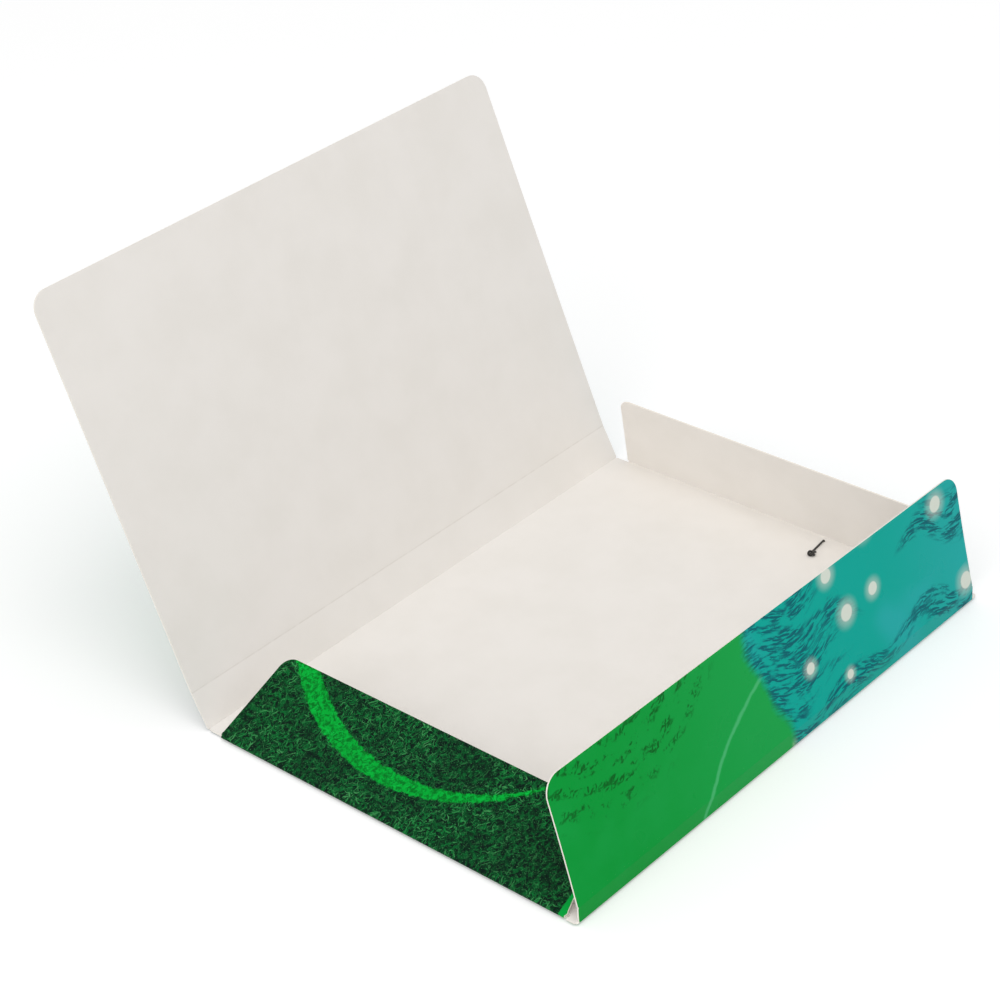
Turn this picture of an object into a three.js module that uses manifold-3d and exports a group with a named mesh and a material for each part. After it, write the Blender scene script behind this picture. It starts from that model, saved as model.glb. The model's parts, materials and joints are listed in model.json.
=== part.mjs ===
// Elastic closure portfolio: one creased card folder with three flaps, and two corner elastics.
// Millimetres, +Z up. The origin is the middle of the base panel's underside.
// The spine is at -X, the fore edge at +X, the tail at -Y and the head at +Y.

import * as THREE from 'three';
import { mergeVertices } from 'three/addons/utils/BufferGeometryUtils.js';
import Module from 'manifold-3d';

const wasm = await Module();
wasm.setup();

// Driving dimensions of the card
const BASE_WIDTH = 240; // from the spine crease to the fore crease
const BASE_LENGTH = 320; // from the tail crease to the head crease
const CARD = 0.8; // thickness of the card
const SPINE_DEPTH = 20;
const COVER_WIDTH = 214;
const END_FLAP_DEPTH = 51; // tail and head flaps
const FORE_WALL_HEIGHT = 8;
const FORE_FLAP_DEPTH = 65;

// How the flaps are cut
const TAIL_SPINE_INSET = 9.5; // bare base edge between the tail flap and the spine crease
const TAIL_FORE_INSET = 6;
const HEAD_SPINE_INSET = 8;
const HEAD_FORE_INSET = 9.5;
const END_FLAP_TAPER = 8; // how far each end of an end flap draws in on its way to the tip
const WALL_TAIL_INSET = 0.5; // how much the fore wall is short of the tail crease
const WALL_HEAD_INSET = 2.5;
const FORE_FLAP_TAIL_INSET = 0.5;
const FORE_FLAP_HEAD_INSET = 4;
const EAR = 1; // how far the base's two fore corners stand past the end creases
const EAR_SLIT = 0.6; // width of the cut between an ear and the flap beside it

// Corner radii
const COVER_CORNER = 10;
const FORE_TIP_CORNER = 10;
const END_TIP_CORNER = 8;
const EAR_CORNER = 1.2;
const SPINE_CORNER = 1; // the base's two corners at the spine
const ROOT_CORNER = 2;
const STRIP_CORNER = 0.4;

// Creases: the turning line lies just above the inner faces, so that a flap folds flat onto them
const FOLD_GAP = 0.3; // left between two inner faces that are folded together
const CREASE_SETBACK = 0.3; // from the turning line back to each panel's edge
const SCORE = 0.35; // bevel that the creasing rule presses into the outer face

// Fold angles as the portfolio stands open, in degrees: 0 is laid flat, 90 is square to the base
const SPINE_ANGLE = 63.7;
const COVER_ANGLE = 5.4;
const TAIL_ANGLE = 148.6;
const HEAD_ANGLE = 105.5;
const FORE_WALL_ANGLE = 90;
const FORE_FLAP_ANGLE = 12.7;

// The corner elastics. Each is slack: it lies in a flat bow under the base, out from the straight line
// between its two holes, and its knots lie loose on the base's inner face.
const CORD = 1.1; // diameter
const CORD_SIDES = 8;
const CORD_CLEARANCE = 0.3; // between the cord and the card it lies on or passes through
const HOLE_FROM_CORNER = 93; // along the crease, from the fore corner of the base
const HOLE_FROM_CREASE = 3.5;
const CORD_END_RUN = 12; // from a hole to the knot's first bend
const CORD_END_LEAN_ANGLE = 15; // how far that run turns from square to the crease towards the corner
const CORD_TAIL = 2.2; // cut end past the knot
const UNDER_TURN = 1.1; // radius of the cord's turn beside the hole, under the base
const UNDER_BOW = 9; // the bow's middle, out from the straight line between the holes
const BOW_STEPS = 9; // from a turn to the bow's middle

// The overhand knot: a trefoil opened at one lobe, its sizes counted in strands
const STRAND_GAP = 0.48; // between two strands that cross
const KNOT_SPREAD = 1.12; // from the knot's middle to its three crossings
const KNOT_SWING = 0.5; // how far the lobes swing out and in from there
const KNOT_LIFT = 0.62; // height of the upper strand over the knot's middle
const KNOT_OPENING = 0.36; // part of the trefoil's turn left open for the two leads
const KNOT_STEPS = 36;

// Sizes that follow from the ones above
const HALF_WIDTH = BASE_WIDTH / 2;
const HALF_LENGTH = BASE_LENGTH / 2;
const AXIS_LIFT = FOLD_GAP / 2; // turning line over the inner faces
const HOLE_RADIUS = CORD / 2 + CORD_CLEARANCE;
const CORD_SEAT = CORD / 2 + CORD_CLEARANCE; // cord's middle line over the face it lies on
const STRAND = CORD + STRAND_GAP;
const KNOT_REACH = (KNOT_SPREAD + KNOT_SWING) * STRAND; // from the knot's middle to its outermost strand
const QUARTER = Math.PI / 2;

const radians = THREE.MathUtils.degToRad;

// Materials

function cardMaterial(color) {
  return new THREE.MeshStandardMaterial({ color, roughness: 0.35, metalness: 0 });
}

function elasticMaterial() {
  return new THREE.MeshStandardMaterial({ color: 0x141414, roughness: 0.85, metalness: 0 });
}

// Solids and cuts

function toSolid(geometry) {
  const bare = geometry.clone();
  bare.deleteAttribute('normal');
  bare.deleteAttribute('uv');
  const merged = mergeVertices(bare, 1e-4);
  return new wasm.Manifold(new wasm.Mesh({
    numProp: 3,
    vertProperties: new Float32Array(merged.attributes.position.array),
    triVerts: new Uint32Array(merged.index.array),
  }));
}

function toGeometry(solid) {
  const mesh = solid.getMesh();
  const geometry = new THREE.BufferGeometry();
  geometry.setAttribute('position', new THREE.BufferAttribute(mesh.vertProperties, 3));
  geometry.setIndex(new THREE.BufferAttribute(mesh.triVerts, 1));
  geometry.computeVertexNormals();
  return geometry;
}

// An outline through corners given counter-clockwise as [x, y, radius], each rounded by an arc
function roundedOutline(corners) {
  const shape = new THREE.Shape();
  const count = corners.length;
  corners.forEach(([x, y, radius], index) => {
    const here = new THREE.Vector2(x, y);
    const before = new THREE.Vector2(...corners[(index + count - 1) % count]).sub(here).normalize();
    const after = new THREE.Vector2(...corners[(index + 1) % count]).sub(here).normalize();
    const half = Math.acos(THREE.MathUtils.clamp(before.dot(after), -1, 1)) / 2;
    const reach = radius / Math.tan(half);
    const start = here.clone().addScaledVector(before, reach);
    if (index === 0) {
      shape.moveTo(start.x, start.y);
    } else {
      shape.lineTo(start.x, start.y);
    }
    if (radius > 0) {
      const turnsLeft = before.cross(after) < 0;
      const inward = before.clone().add(after).normalize();
      const centre = here.clone().addScaledVector(inward, radius / Math.sin(half));
      const end = here.clone().addScaledVector(after, reach);
      const from = Math.atan2(start.y - centre.y, start.x - centre.x);
      const to = Math.atan2(end.y - centre.y, end.x - centre.x);
      shape.absarc(centre.x, centre.y, radius, from, to, !turnsLeft);
    }
  });
  shape.closePath();
  return shape;
}

// A sheet of card from an outline, its inner face at the given height
function cardSheet(outline, innerFace) {
  const geometry = new THREE.ExtrudeGeometry(outline, {
    depth: CARD,
    bevelEnabled: false,
    curveSegments: 6,
  });
  geometry.translate(0, 0, innerFace - CARD);
  return toSolid(geometry);
}

// The bevel along a crease: a triangular prism over the outer face's edge, from one point to another,
// with the panel on the left of that way
function scorePrism(from, to, outerFace) {
  const along = new THREE.Vector3(to[0] - from[0], to[1] - from[1], 0);
  const section = new THREE.Shape();
  section.moveTo(-SCORE, -SCORE);
  section.lineTo(2 * SCORE, -SCORE);
  section.lineTo(-SCORE, 2 * SCORE);
  section.closePath();
  const prism = new THREE.ExtrudeGeometry(section, { depth: along.length(), bevelEnabled: false });
  const ahead = along.clone().normalize();
  const up = new THREE.Vector3(0, 0, 1);
  const inward = new THREE.Vector3().crossVectors(up, ahead);
  const place = new THREE.Matrix4().makeBasis(inward, up, ahead);
  place.setPosition(from[0], from[1], outerFace);
  prism.applyMatrix4(place);
  return toSolid(prism);
}

// Score every crease of a panel, each given with the panel on the left of the way it runs
function scored(sheet, creases, outerFace) {
  return creases.reduce((rest, [from, to]) => rest.subtract(scorePrism(from, to, outerFace)), sheet);
}

function namedMesh(name, geometry, material) {
  const mesh = new THREE.Mesh(geometry, material);
  mesh.name = name;
  return mesh;
}

// The base panel

function baseOutline() {
  const foldX = HALF_WIDTH - CREASE_SETBACK;
  const foldY = HALF_LENGTH - CREASE_SETBACK;
  const earY = HALF_LENGTH + EAR;
  const tailSlit = HALF_WIDTH - TAIL_FORE_INSET + EAR_SLIT;
  const headSlit = HALF_WIDTH - HEAD_FORE_INSET + EAR_SLIT;
  const slitCorner = EAR_SLIT / 2;
  return roundedOutline([
    [-foldX, -foldY, SPINE_CORNER],
    [tailSlit, -foldY, 0],
    [tailSlit, -earY, slitCorner],
    [foldX, -earY, EAR_CORNER],
    [foldX, earY, EAR_CORNER],
    [headSlit, earY, slitCorner],
    [headSlit, foldY, 0],
    [-foldX, foldY, SPINE_CORNER],
  ]);
}

// The two holes of one elastic, on the head side when side is 1 and on the tail side when it is -1
function holePlaces(side) {
  return [
    new THREE.Vector2(HALF_WIDTH - HOLE_FROM_CORNER, side * (HALF_LENGTH - HOLE_FROM_CREASE)),
    new THREE.Vector2(HALF_WIDTH - HOLE_FROM_CREASE, side * (HALF_LENGTH - HOLE_FROM_CORNER)),
  ];
}

function basePanel() {
  const outline = baseOutline();
  for (const side of [-1, 1]) {
    for (const place of holePlaces(side)) {
      const hole = new THREE.Path();
      hole.absarc(place.x, place.y, HOLE_RADIUS, 0, 2 * Math.PI, true);
      outline.holes.push(hole);
    }
  }
  const foldX = HALF_WIDTH - CREASE_SETBACK;
  const foldY = HALF_LENGTH - CREASE_SETBACK;
  const earY = HALF_LENGTH + EAR + SCORE;
  const solid = scored(cardSheet(outline, CARD), [
    [[TAIL_SPINE_INSET - HALF_WIDTH, -foldY], [HALF_WIDTH - TAIL_FORE_INSET + EAR_SLIT, -foldY]],
    [[foldX, -earY], [foldX, earY]],
    [[HALF_WIDTH - HEAD_FORE_INSET + EAR_SLIT, foldY], [HEAD_SPINE_INSET - HALF_WIDTH, foldY]],
    [[-foldX, earY], [-foldX, -earY]],
  ], 0);
  return namedMesh('base_panel', toGeometry(solid), cardMaterial(0xe8e0d4));
}

// Panels that turn: each is drawn in its own frame, with its turning line along X from start to end
// and its free side at +Y, its inner face looking up when it is laid flat

function strip(name, start, end, depth, rootCorner, tipCorner, taper, creasedTip, color) {
  const near = CREASE_SETBACK;
  const far = creasedTip ? depth - CREASE_SETBACK : depth;
  const outline = roundedOutline([
    [start, near, rootCorner],
    [end, near, rootCorner],
    [end - taper, far, tipCorner],
    [start + taper, far, tipCorner],
  ]);
  const creases = [[[start - SCORE, near], [end + SCORE, near]]];
  if (creasedTip) {
    creases.push([[end + SCORE, far], [start - SCORE, far]]);
  }
  const solid = scored(cardSheet(outline, -AXIS_LIFT), creases, -AXIS_LIFT - CARD);
  return namedMesh(name, toGeometry(solid), cardMaterial(color));
}

// On the spine side the line runs from the tail to the head
function spinePanel() {
  return strip(
    'spine_panel', -HALF_LENGTH, HALF_LENGTH, SPINE_DEPTH, STRIP_CORNER, STRIP_CORNER, 0, true, 0xe2dad0,
  );
}

function coverPanel() {
  return strip(
    'cover_panel', -HALF_LENGTH, HALF_LENGTH, COVER_WIDTH, STRIP_CORNER, COVER_CORNER, 0, false, 0xe4ded6,
  );
}

// At the tail the line runs from the fore edge to the spine, and at the head the other way
function tailFlap() {
  return strip(
    'tail_flap', TAIL_FORE_INSET - HALF_WIDTH, HALF_WIDTH - TAIL_SPINE_INSET,
    END_FLAP_DEPTH, ROOT_CORNER, END_TIP_CORNER, END_FLAP_TAPER, false, 0x0f4a22,
  );
}

function headFlap() {
  return strip(
    'head_flap', HEAD_SPINE_INSET - HALF_WIDTH, HALF_WIDTH - HEAD_FORE_INSET,
    END_FLAP_DEPTH, ROOT_CORNER, END_TIP_CORNER, END_FLAP_TAPER, false, 0xe6dccb,
  );
}

// On the fore side the line runs from the head to the tail
function foreWall() {
  return strip(
    'fore_wall', WALL_HEAD_INSET - HALF_LENGTH, HALF_LENGTH - WALL_TAIL_INSET,
    FORE_WALL_HEIGHT, STRIP_CORNER, STRIP_CORNER, 0, true, 0x12903c,
  );
}

function foreFlap() {
  return strip(
    'fore_flap', FORE_FLAP_HEAD_INSET - HALF_LENGTH, HALF_LENGTH - FORE_FLAP_TAIL_INSET,
    FORE_FLAP_DEPTH, STRIP_CORNER, FORE_TIP_CORNER, 0, false, 0x109a8c,
  );
}

// A turning line: the group's X lies on the crease and the panel in it turns up about X
function crease(x, y, z, heading, fold) {
  const line = new THREE.Group();
  line.position.set(x, y, z);
  line.rotation.set(radians(fold), 0, radians(heading), 'ZYX');
  return line;
}

// The corner elastics

// A route whose parameter runs evenly over its stations, so that bends can have closer stations
class StationRoute extends THREE.Curve {
  constructor(stations) {
    super();
    this.stations = stations;
  }

  getUtoTmapping(u) {
    return u;
  }

  getPoint(t, target = new THREE.Vector3()) {
    const last = this.stations.length - 1;
    const place = THREE.MathUtils.clamp(t, 0, 1) * last;
    const index = Math.min(Math.floor(place), last - 1);
    return target.lerpVectors(this.stations[index], this.stations[index + 1], place - index);
  }
}

// The overhand knot in its own frame: its middle line from the cut end to the lead, both of which
// leave towards +X. A trefoil turns twice about the middle while it swings in and out three times.
function knotStations() {
  const stations = [];
  for (let step = 0; step <= KNOT_STEPS; step += 1) {
    const turn = KNOT_OPENING + (2 * Math.PI - 2 * KNOT_OPENING) * (step / KNOT_STEPS);
    const reach = STRAND * (KNOT_SPREAD + KNOT_SWING * Math.cos(3 * turn));
    stations.push(new THREE.Vector3(
      reach * Math.cos(2 * turn),
      reach * Math.sin(2 * turn),
      STRAND * KNOT_LIFT * Math.sin(3 * turn),
    ));
  }
  return stations;
}

// Half an elastic, from one cut end to the bow's middle, seen from its corner of the base:
// X runs along the end crease and Y along the base, both 0 at the corner and negative inside it
function halfElastic() {
  const hole = new THREE.Vector2(-HOLE_FROM_CORNER, -HOLE_FROM_CREASE);
  const lean = radians(CORD_END_LEAN_ANGLE);
  const towardsHole = new THREE.Vector2(-Math.sin(lean), Math.cos(lean));
  const aside = new THREE.Vector2(-towardsHole.y, towardsHole.x);
  const lift = CARD + CORD_SEAT;
  const middle = lift + KNOT_LIFT * STRAND;
  const knot = knotStations();
  const first = knot[0];
  const last = knot[knot.length - 1];
  const bend = CORD_SEAT;
  // Places along the inside run: ahead is 0 at the knot's middle and knotOut at the hole
  const knotOut = CORD_END_RUN + KNOT_REACH;
  const place = (ahead, sideways, z) => new THREE.Vector3(
    hole.x + towardsHole.x * (ahead - knotOut) + aside.x * (sideways - last.y),
    hole.y + towardsHole.y * (ahead - knotOut) + aside.y * (sideways - last.y),
    z,
  );
  const stations = [
    place(KNOT_REACH + CORD_TAIL, first.y + CORD / 3, middle + first.z),
    place(KNOT_REACH + CORD_TAIL / 3, first.y + CORD / 6, middle + first.z),
    ...knot.map((point) => place(point.x, point.y, middle + point.z)),
    place(KNOT_REACH, last.y, lift),
    place(KNOT_REACH + CORD, last.y, lift),
    place((KNOT_REACH + knotOut) / 2, last.y, lift),
    place(knotOut - 2 * bend, last.y, lift),
  ];
  // Over the hole's edge, down through it and on under the base
  for (const share of [0, 1 / 3, 2 / 3, 1]) {
    const angle = QUARTER * share;
    stations.push(place(knotOut - bend * (1 - Math.sin(angle)), last.y, CARD + bend * Math.cos(angle)));
  }
  for (const share of [0, 1 / 3, 2 / 3, 1]) {
    const angle = QUARTER * share;
    stations.push(place(knotOut + bend * (1 - Math.cos(angle)), last.y, -bend * Math.sin(angle)));
  }
  // Round towards the corner, until it heads along the crease
  const turnStart = stations[stations.length - 1];
  const centre = new THREE.Vector2(turnStart.x - aside.x * UNDER_TURN, turnStart.y - aside.y * UNDER_TURN);
  const startAngle = Math.PI + lean;
  for (const share of [1 / 3, 2 / 3, 1]) {
    const angle = THREE.MathUtils.lerp(startAngle, QUARTER, share);
    stations.push(new THREE.Vector3(
      centre.x + UNDER_TURN * Math.cos(angle),
      centre.y + UNDER_TURN * Math.sin(angle),
      -bend,
    ));
  }
  // The bow: a parabola that is level with the line between the holes at the corner's diagonal
  const bowStart = stations[stations.length - 1];
  const startAlong = (bowStart.x - bowStart.y) / Math.SQRT2;
  const startOut = (bowStart.x + bowStart.y) / Math.SQRT2;
  const middleOut = (hole.x + hole.y) / Math.SQRT2 + UNDER_BOW;
  for (let step = 1; step <= BOW_STEPS; step += 1) {
    const share = (step / BOW_STEPS) ** 2;
    const along = startAlong * (1 - share);
    const out = middleOut - (middleOut - startOut) * (1 - share) ** 2;
    stations.push(new THREE.Vector3((out + along) / Math.SQRT2, (out - along) / Math.SQRT2, -bend));
  }
  return stations;
}

// The whole elastic: its second half is the first one mirrored in the corner's diagonal
function elasticStations(side) {
  const half = halfElastic();
  const mirrored = half.slice(0, -1).reverse().map((point) => new THREE.Vector3(point.y, point.x, point.z));
  return [...half, ...mirrored].map((point) => new THREE.Vector3(
    HALF_WIDTH + point.x,
    side * (HALF_LENGTH + point.y),
    point.z,
  ));
}

// The least gap between strands of one cord, on points along its middle line
function leastGap(stations) {
  const points = [];
  let travelled = 0;
  for (let index = 0; index + 1 < stations.length; index += 1) {
    const length = stations[index].distanceTo(stations[index + 1]);
    const count = Math.ceil(length / (CORD / 8));
    for (let step = 0; step < count; step += 1) {
      const point = stations[index].clone().lerp(stations[index + 1], step / count);
      points.push({ point, along: travelled + (length * step) / count });
    }
    travelled += length;
  }
  let least = Infinity;
  points.forEach((one, index) => {
    for (const other of points.slice(index + 1)) {
      if (other.along - one.along > 3 * CORD) {
        least = Math.min(least, one.point.distanceTo(other.point));
      }
    }
  });
  return least - CORD;
}

function cornerElastic(name, side) {
  const section = new THREE.Shape();
  for (let index = 0; index < CORD_SIDES; index += 1) {
    const angle = (2 * Math.PI * (index + 0.5)) / CORD_SIDES;
    const x = (CORD / 2) * Math.cos(angle);
    const y = (CORD / 2) * Math.sin(angle);
    if (index === 0) {
      section.moveTo(x, y);
    } else {
      section.lineTo(x, y);
    }
  }
  section.closePath();
  const stations = elasticStations(side);
  console.log(`${name}: least gap to itself ${leastGap(stations).toFixed(2)} mm`);
  const tube = new THREE.ExtrudeGeometry(section, {
    steps: stations.length - 1,
    extrudePath: new StationRoute(stations),
    bevelEnabled: false,
  });
  return namedMesh(name, toGeometry(toSolid(tube)), elasticMaterial());
}

// The portfolio, standing open

function portfolio() {
  const whole = new THREE.Group();
  const height = CARD + AXIS_LIFT;
  whole.add(basePanel());

  const spineLine = crease(-HALF_WIDTH, 0, height, 90, SPINE_ANGLE);
  const coverLine = crease(0, SPINE_DEPTH, 0, 0, COVER_ANGLE);
  coverLine.add(coverPanel());
  spineLine.add(spinePanel(), coverLine);

  const tailLine = crease(0, -HALF_LENGTH, height, 180, TAIL_ANGLE);
  tailLine.add(tailFlap());

  const headLine = crease(0, HALF_LENGTH, height, 0, HEAD_ANGLE);
  headLine.add(headFlap());

  const wallLine = crease(HALF_WIDTH, 0, height, -90, FORE_WALL_ANGLE);
  const flapLine = crease(0, FORE_WALL_HEIGHT, 0, 0, FORE_FLAP_ANGLE);
  flapLine.add(foreFlap());
  wallLine.add(foreWall(), flapLine);

  whole.add(spineLine, tailLine, headLine, wallLine);
  whole.add(cornerElastic('elastic_tail', -1), cornerElastic('elastic_head', 1));
  return whole;
}

export default portfolio();
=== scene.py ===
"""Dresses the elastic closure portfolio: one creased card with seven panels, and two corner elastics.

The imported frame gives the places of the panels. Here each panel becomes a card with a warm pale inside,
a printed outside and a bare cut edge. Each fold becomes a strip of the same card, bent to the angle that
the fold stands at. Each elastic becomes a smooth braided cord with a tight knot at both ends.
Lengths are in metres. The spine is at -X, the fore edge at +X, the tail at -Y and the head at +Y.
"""

import json
from functools import partial
from math import atan2, ceil, cos, pi, radians, sin, sqrt

import bpy
import numpy as np
from mathutils import Matrix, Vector
from mathutils.geometry import delaunay_2d_cdt


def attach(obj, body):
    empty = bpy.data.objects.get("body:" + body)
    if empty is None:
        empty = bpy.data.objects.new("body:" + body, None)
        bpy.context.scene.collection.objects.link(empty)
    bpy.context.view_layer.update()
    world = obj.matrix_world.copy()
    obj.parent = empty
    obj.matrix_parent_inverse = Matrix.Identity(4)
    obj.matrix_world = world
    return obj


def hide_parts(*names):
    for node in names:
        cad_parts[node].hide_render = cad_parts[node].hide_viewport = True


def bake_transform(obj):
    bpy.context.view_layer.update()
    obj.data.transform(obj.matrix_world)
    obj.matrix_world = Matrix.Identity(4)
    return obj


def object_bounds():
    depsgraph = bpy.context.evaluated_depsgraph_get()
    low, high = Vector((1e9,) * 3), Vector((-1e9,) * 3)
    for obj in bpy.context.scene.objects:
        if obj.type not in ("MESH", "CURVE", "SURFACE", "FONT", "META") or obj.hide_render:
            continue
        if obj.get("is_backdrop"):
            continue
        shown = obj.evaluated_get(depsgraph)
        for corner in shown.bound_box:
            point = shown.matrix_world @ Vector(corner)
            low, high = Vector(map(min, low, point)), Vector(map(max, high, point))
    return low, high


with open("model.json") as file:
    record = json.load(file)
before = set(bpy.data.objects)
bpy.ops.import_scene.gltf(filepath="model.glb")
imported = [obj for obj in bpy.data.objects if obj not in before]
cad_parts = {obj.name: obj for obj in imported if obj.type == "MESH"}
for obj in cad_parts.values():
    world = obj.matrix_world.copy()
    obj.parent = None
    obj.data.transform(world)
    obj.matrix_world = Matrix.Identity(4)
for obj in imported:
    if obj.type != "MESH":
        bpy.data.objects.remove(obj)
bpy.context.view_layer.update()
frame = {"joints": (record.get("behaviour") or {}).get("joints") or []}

bl_info = {
    "name": "Elastic closure portfolio",
    "version": (1, 0, 0),
    "blender": (4, 5, 0),
    "location": "View3D > Sidebar > Portfolio",
    "description": "Creased card panels, bending creases, corner elastics and a plain studio",
    "category": "Object",
}

# A joint's lowest limit lays its panel flat, so it gives the angle that the fold stands at
STANDING_ANGLE = {joint["name"]: -radians(joint["range_deg"][0]) for joint in frame["joints"]}

MM = 0.001


def linear(red, green, blue):
    """The linear colour of a screen colour given as three numbers from 0 to 255."""
    shares = np.array([red, green, blue]) / 255
    low = shares / 12.92
    high = ((shares + 0.055) / 1.055) ** 2.4
    return tuple(np.where(shares <= 0.04045, low, high).tolist())


# What a user can change


def length(name, description, default):
    """A length property in metres."""
    return bpy.props.FloatProperty(
        name=name, description=description, default=default, unit="LENGTH", subtype="DISTANCE", precision=5
    )


def angle(name, description, default):
    """An angle property in radians."""
    return bpy.props.FloatProperty(
        name=name, description=description, default=default, unit="ROTATION", subtype="ANGLE"
    )


def colour(name, description, red, green, blue):
    """A colour property whose default is given as a screen colour."""
    return bpy.props.FloatVectorProperty(
        name=name, description=description, default=linear(red, green, blue), subtype="COLOR", min=0, max=1
    )


class PortfolioCardSizes(bpy.types.PropertyGroup):
    base_width: length("Base width", "From the spine crease to the fore crease", 240 * MM)
    base_length: length("Base length", "From the tail crease to the head crease", 320 * MM)
    thickness: length("Thickness", "Thickness of the card", 0.8 * MM)
    spine_depth: length("Spine depth", "From the spine crease to the cover crease", 20 * MM)
    cover_width: length("Cover width", "From its crease to its free edge", 213.5 * MM)
    end_flap_depth: length("End flap depth", "Depth of the tail and head flaps", 51 * MM)
    fore_wall_height: length("Fore wall height", "Between the two fore creases", 8 * MM)
    fore_flap_depth: length("Fore flap depth", "From its crease to its free edge", 65 * MM)
    tail_spine_inset: length("Tail flap inset at the spine", "Bare base edge beside the flap", 9.5 * MM)
    tail_fore_inset: length("Tail flap inset at the fore edge", "Bare base edge beside the flap", 6 * MM)
    head_spine_inset: length("Head flap inset at the spine", "Bare base edge beside the flap", 8 * MM)
    head_fore_inset: length("Head flap inset at the fore edge", "Bare base edge beside the flap", 9.5 * MM)
    end_taper: length("End flap taper", "How far each end draws in on its way to the tip", 8 * MM)
    wall_tail_inset: length("Fore wall inset at the tail", "From its end to the tail crease", 0.5 * MM)
    wall_head_inset: length("Fore wall inset at the head", "From its end to the head crease", 3.7 * MM)
    fore_tail_inset: length("Fore flap inset at the tail", "From its end to the tail crease", 0.5 * MM)
    fore_head_inset: length("Fore flap inset at the head", "From its end to the head crease", 4 * MM)
    ear: length("Ear", "How far the base's two fore corners stand past the end creases", 1 * MM)
    ear_slit: length("Ear slit", "Width of the cut between an ear and the flap beside it", 0.4 * MM)
    cover_corner: length("Cover corner", "Radius of the cover's free corners", 10 * MM)
    fore_corner: length("Fore flap corner", "Radius of the fore flap's free corners", 10 * MM)
    end_corner: length("End flap corner", "Radius of an end flap's free corners", 8 * MM)
    ear_corner: length("Ear corner", "Radius of the base's two fore corners", 0.6 * MM)
    spine_corner: length("Spine corner", "Radius of the base's two corners at the spine", 1 * MM)
    root_corner: length("Root corner", "Radius of an end flap's corners at its crease", 0.6 * MM)
    strip_corner: length("Strip corner", "Radius of a strip's corners at its creases", 0.25 * MM)
    axis_lift: length("Turning line lift", "Turning line over the inner faces", 0.15 * MM)
    setback: length("Crease setback", "From the turning line to where a corner's rounding starts", 0.3 * MM)
    edge_round: length("Edge rounding", "Small bevel along every cut edge", 0.1 * MM)
    cover_lean: length("Cover twist", "How far the cover's head corner comes inwards", 1.3 * MM)
    fore_lean: length("Fore flap twist", "How far the fore flap's tail corner comes inwards", 1.9 * MM)


class PortfolioElasticSizes(bpy.types.PropertyGroup):
    diameter: length("Cord diameter", "Thickness of the elastic", 1.1 * MM)
    from_corner: length("Hole from the corner", "Along the crease, from the base's fore corner", 93 * MM)
    from_crease: length("Hole from the crease", "From the crease to the middle of a hole", 3.5 * MM)
    hole_radius: length("Hole radius", "Radius of a punched hole", 0.85 * MM)
    end_run: length("End run", "From a hole to the knot's first bend", 12 * MM)
    lean: angle("End lean", "How far that run turns towards the corner", radians(7))
    seat: length("Seat", "Gap between the cord and the card it lies on", 0.05 * MM)
    tail: length("Cut end", "Cut end past the knot", 0.4 * MM)
    bow: length("Bow", "The bow's middle, out from the straight line between the holes", 9 * MM)


class PortfolioColours(bpy.types.PropertyGroup):
    inside: colour("Inside", "The uncoated inside of the card", 235, 231, 226)
    inside_shade: colour("Inside shade", "The greyer patches of the inside", 230, 226, 220)
    # Painted shade: the darker line where the spine and cover creases are pressed in
    score: colour("Score lines", "The pressed lines of the spine and cover creases", 196, 188, 178)
    core: colour("Cut edge", "The bare core of the card", 240, 234, 222)
    moss_ground: colour("Moss ground", "The darkest green of the print", 4, 25, 18)
    moss_blade: colour("Moss blade", "The fine curls in the dark part of the print", 14, 116, 52)
    moss_tip: colour("Moss tip", "The palest curls in the dark part of the print", 84, 162, 98)
    leaf: colour("Leaf", "The bright crescents in the dark part of the print", 0, 160, 50)
    leaf_blade: colour("Leaf blade", "The fine curls that cross the crescents", 10, 190, 70)
    meadow: colour("Meadow", "The even green of the print", 0, 152, 56)
    meadow_light: colour("Light meadow", "The even green beside the water", 22, 162, 74)
    meadow_blade: colour("Meadow blade", "The dark broken rings in the even green", 0, 84, 22)
    meadow_arc: colour("Meadow arc", "The pale arc in the even green", 96, 200, 140)
    water: colour("Water", "The teal of the print", 0, 166, 152)
    water_light: colour("Light water", "The paler teal patches", 44, 172, 176)
    water_line: colour("Water line", "The dark strokes in the teal", 0, 92, 104)
    spark: colour("Spark", "The pale pebbles in the teal", 222, 226, 214)
    cord: colour("Elastic", "The braid of the elastics", 34, 30, 23)
    # Painted shade in the gaps between the braid's threads
    cord_shade: colour("Elastic shade", "The gaps between the braid's threads", 9, 9, 9)


class PortfolioSettings(bpy.types.PropertyGroup):
    card: bpy.props.PointerProperty(name="Card", type=PortfolioCardSizes)
    elastic: bpy.props.PointerProperty(name="Elastics", type=PortfolioElasticSizes)
    colours: bpy.props.PointerProperty(name="Colours", type=PortfolioColours)


# Places


def moved(x, y, z):
    """The matrix that moves by x, y and z."""
    matrix = np.eye(4)
    matrix[:3, 3] = (x, y, z)
    return matrix


def turned_about_x(turn):
    """The matrix that turns about X."""
    matrix = np.eye(4)
    matrix[1:3, 1:3] = [[cos(turn), -sin(turn)], [sin(turn), cos(turn)]]
    return matrix


def turned_about_z(turn):
    """The matrix that turns about Z."""
    matrix = np.eye(4)
    matrix[:2, :2] = [[cos(turn), -sin(turn)], [sin(turn), cos(turn)]]
    return matrix


def placed(points, matrix):
    """The points carried by a matrix."""
    return points @ matrix[:3, :3].T + matrix[:3, 3]


class Fold:
    """A crease. Its frame has X along the crease and Y towards the free side, before the fold is made.

    The panel's frame is that one turned about X by the fold's angle. The flat frame is where the crease
    lies when the whole card is laid out, so that the print can run on from panel to panel.
    """

    def __init__(self, joint, before, place, heading):
        where = moved(*place) @ turned_about_z(radians(heading))
        self.turn = STANDING_ANGLE[joint]
        self.frame = (before.panel if before else np.eye(4)) @ where
        self.panel = self.frame @ turned_about_x(self.turn)
        self.flat = (before.flat if before else np.eye(4)) @ where


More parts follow.
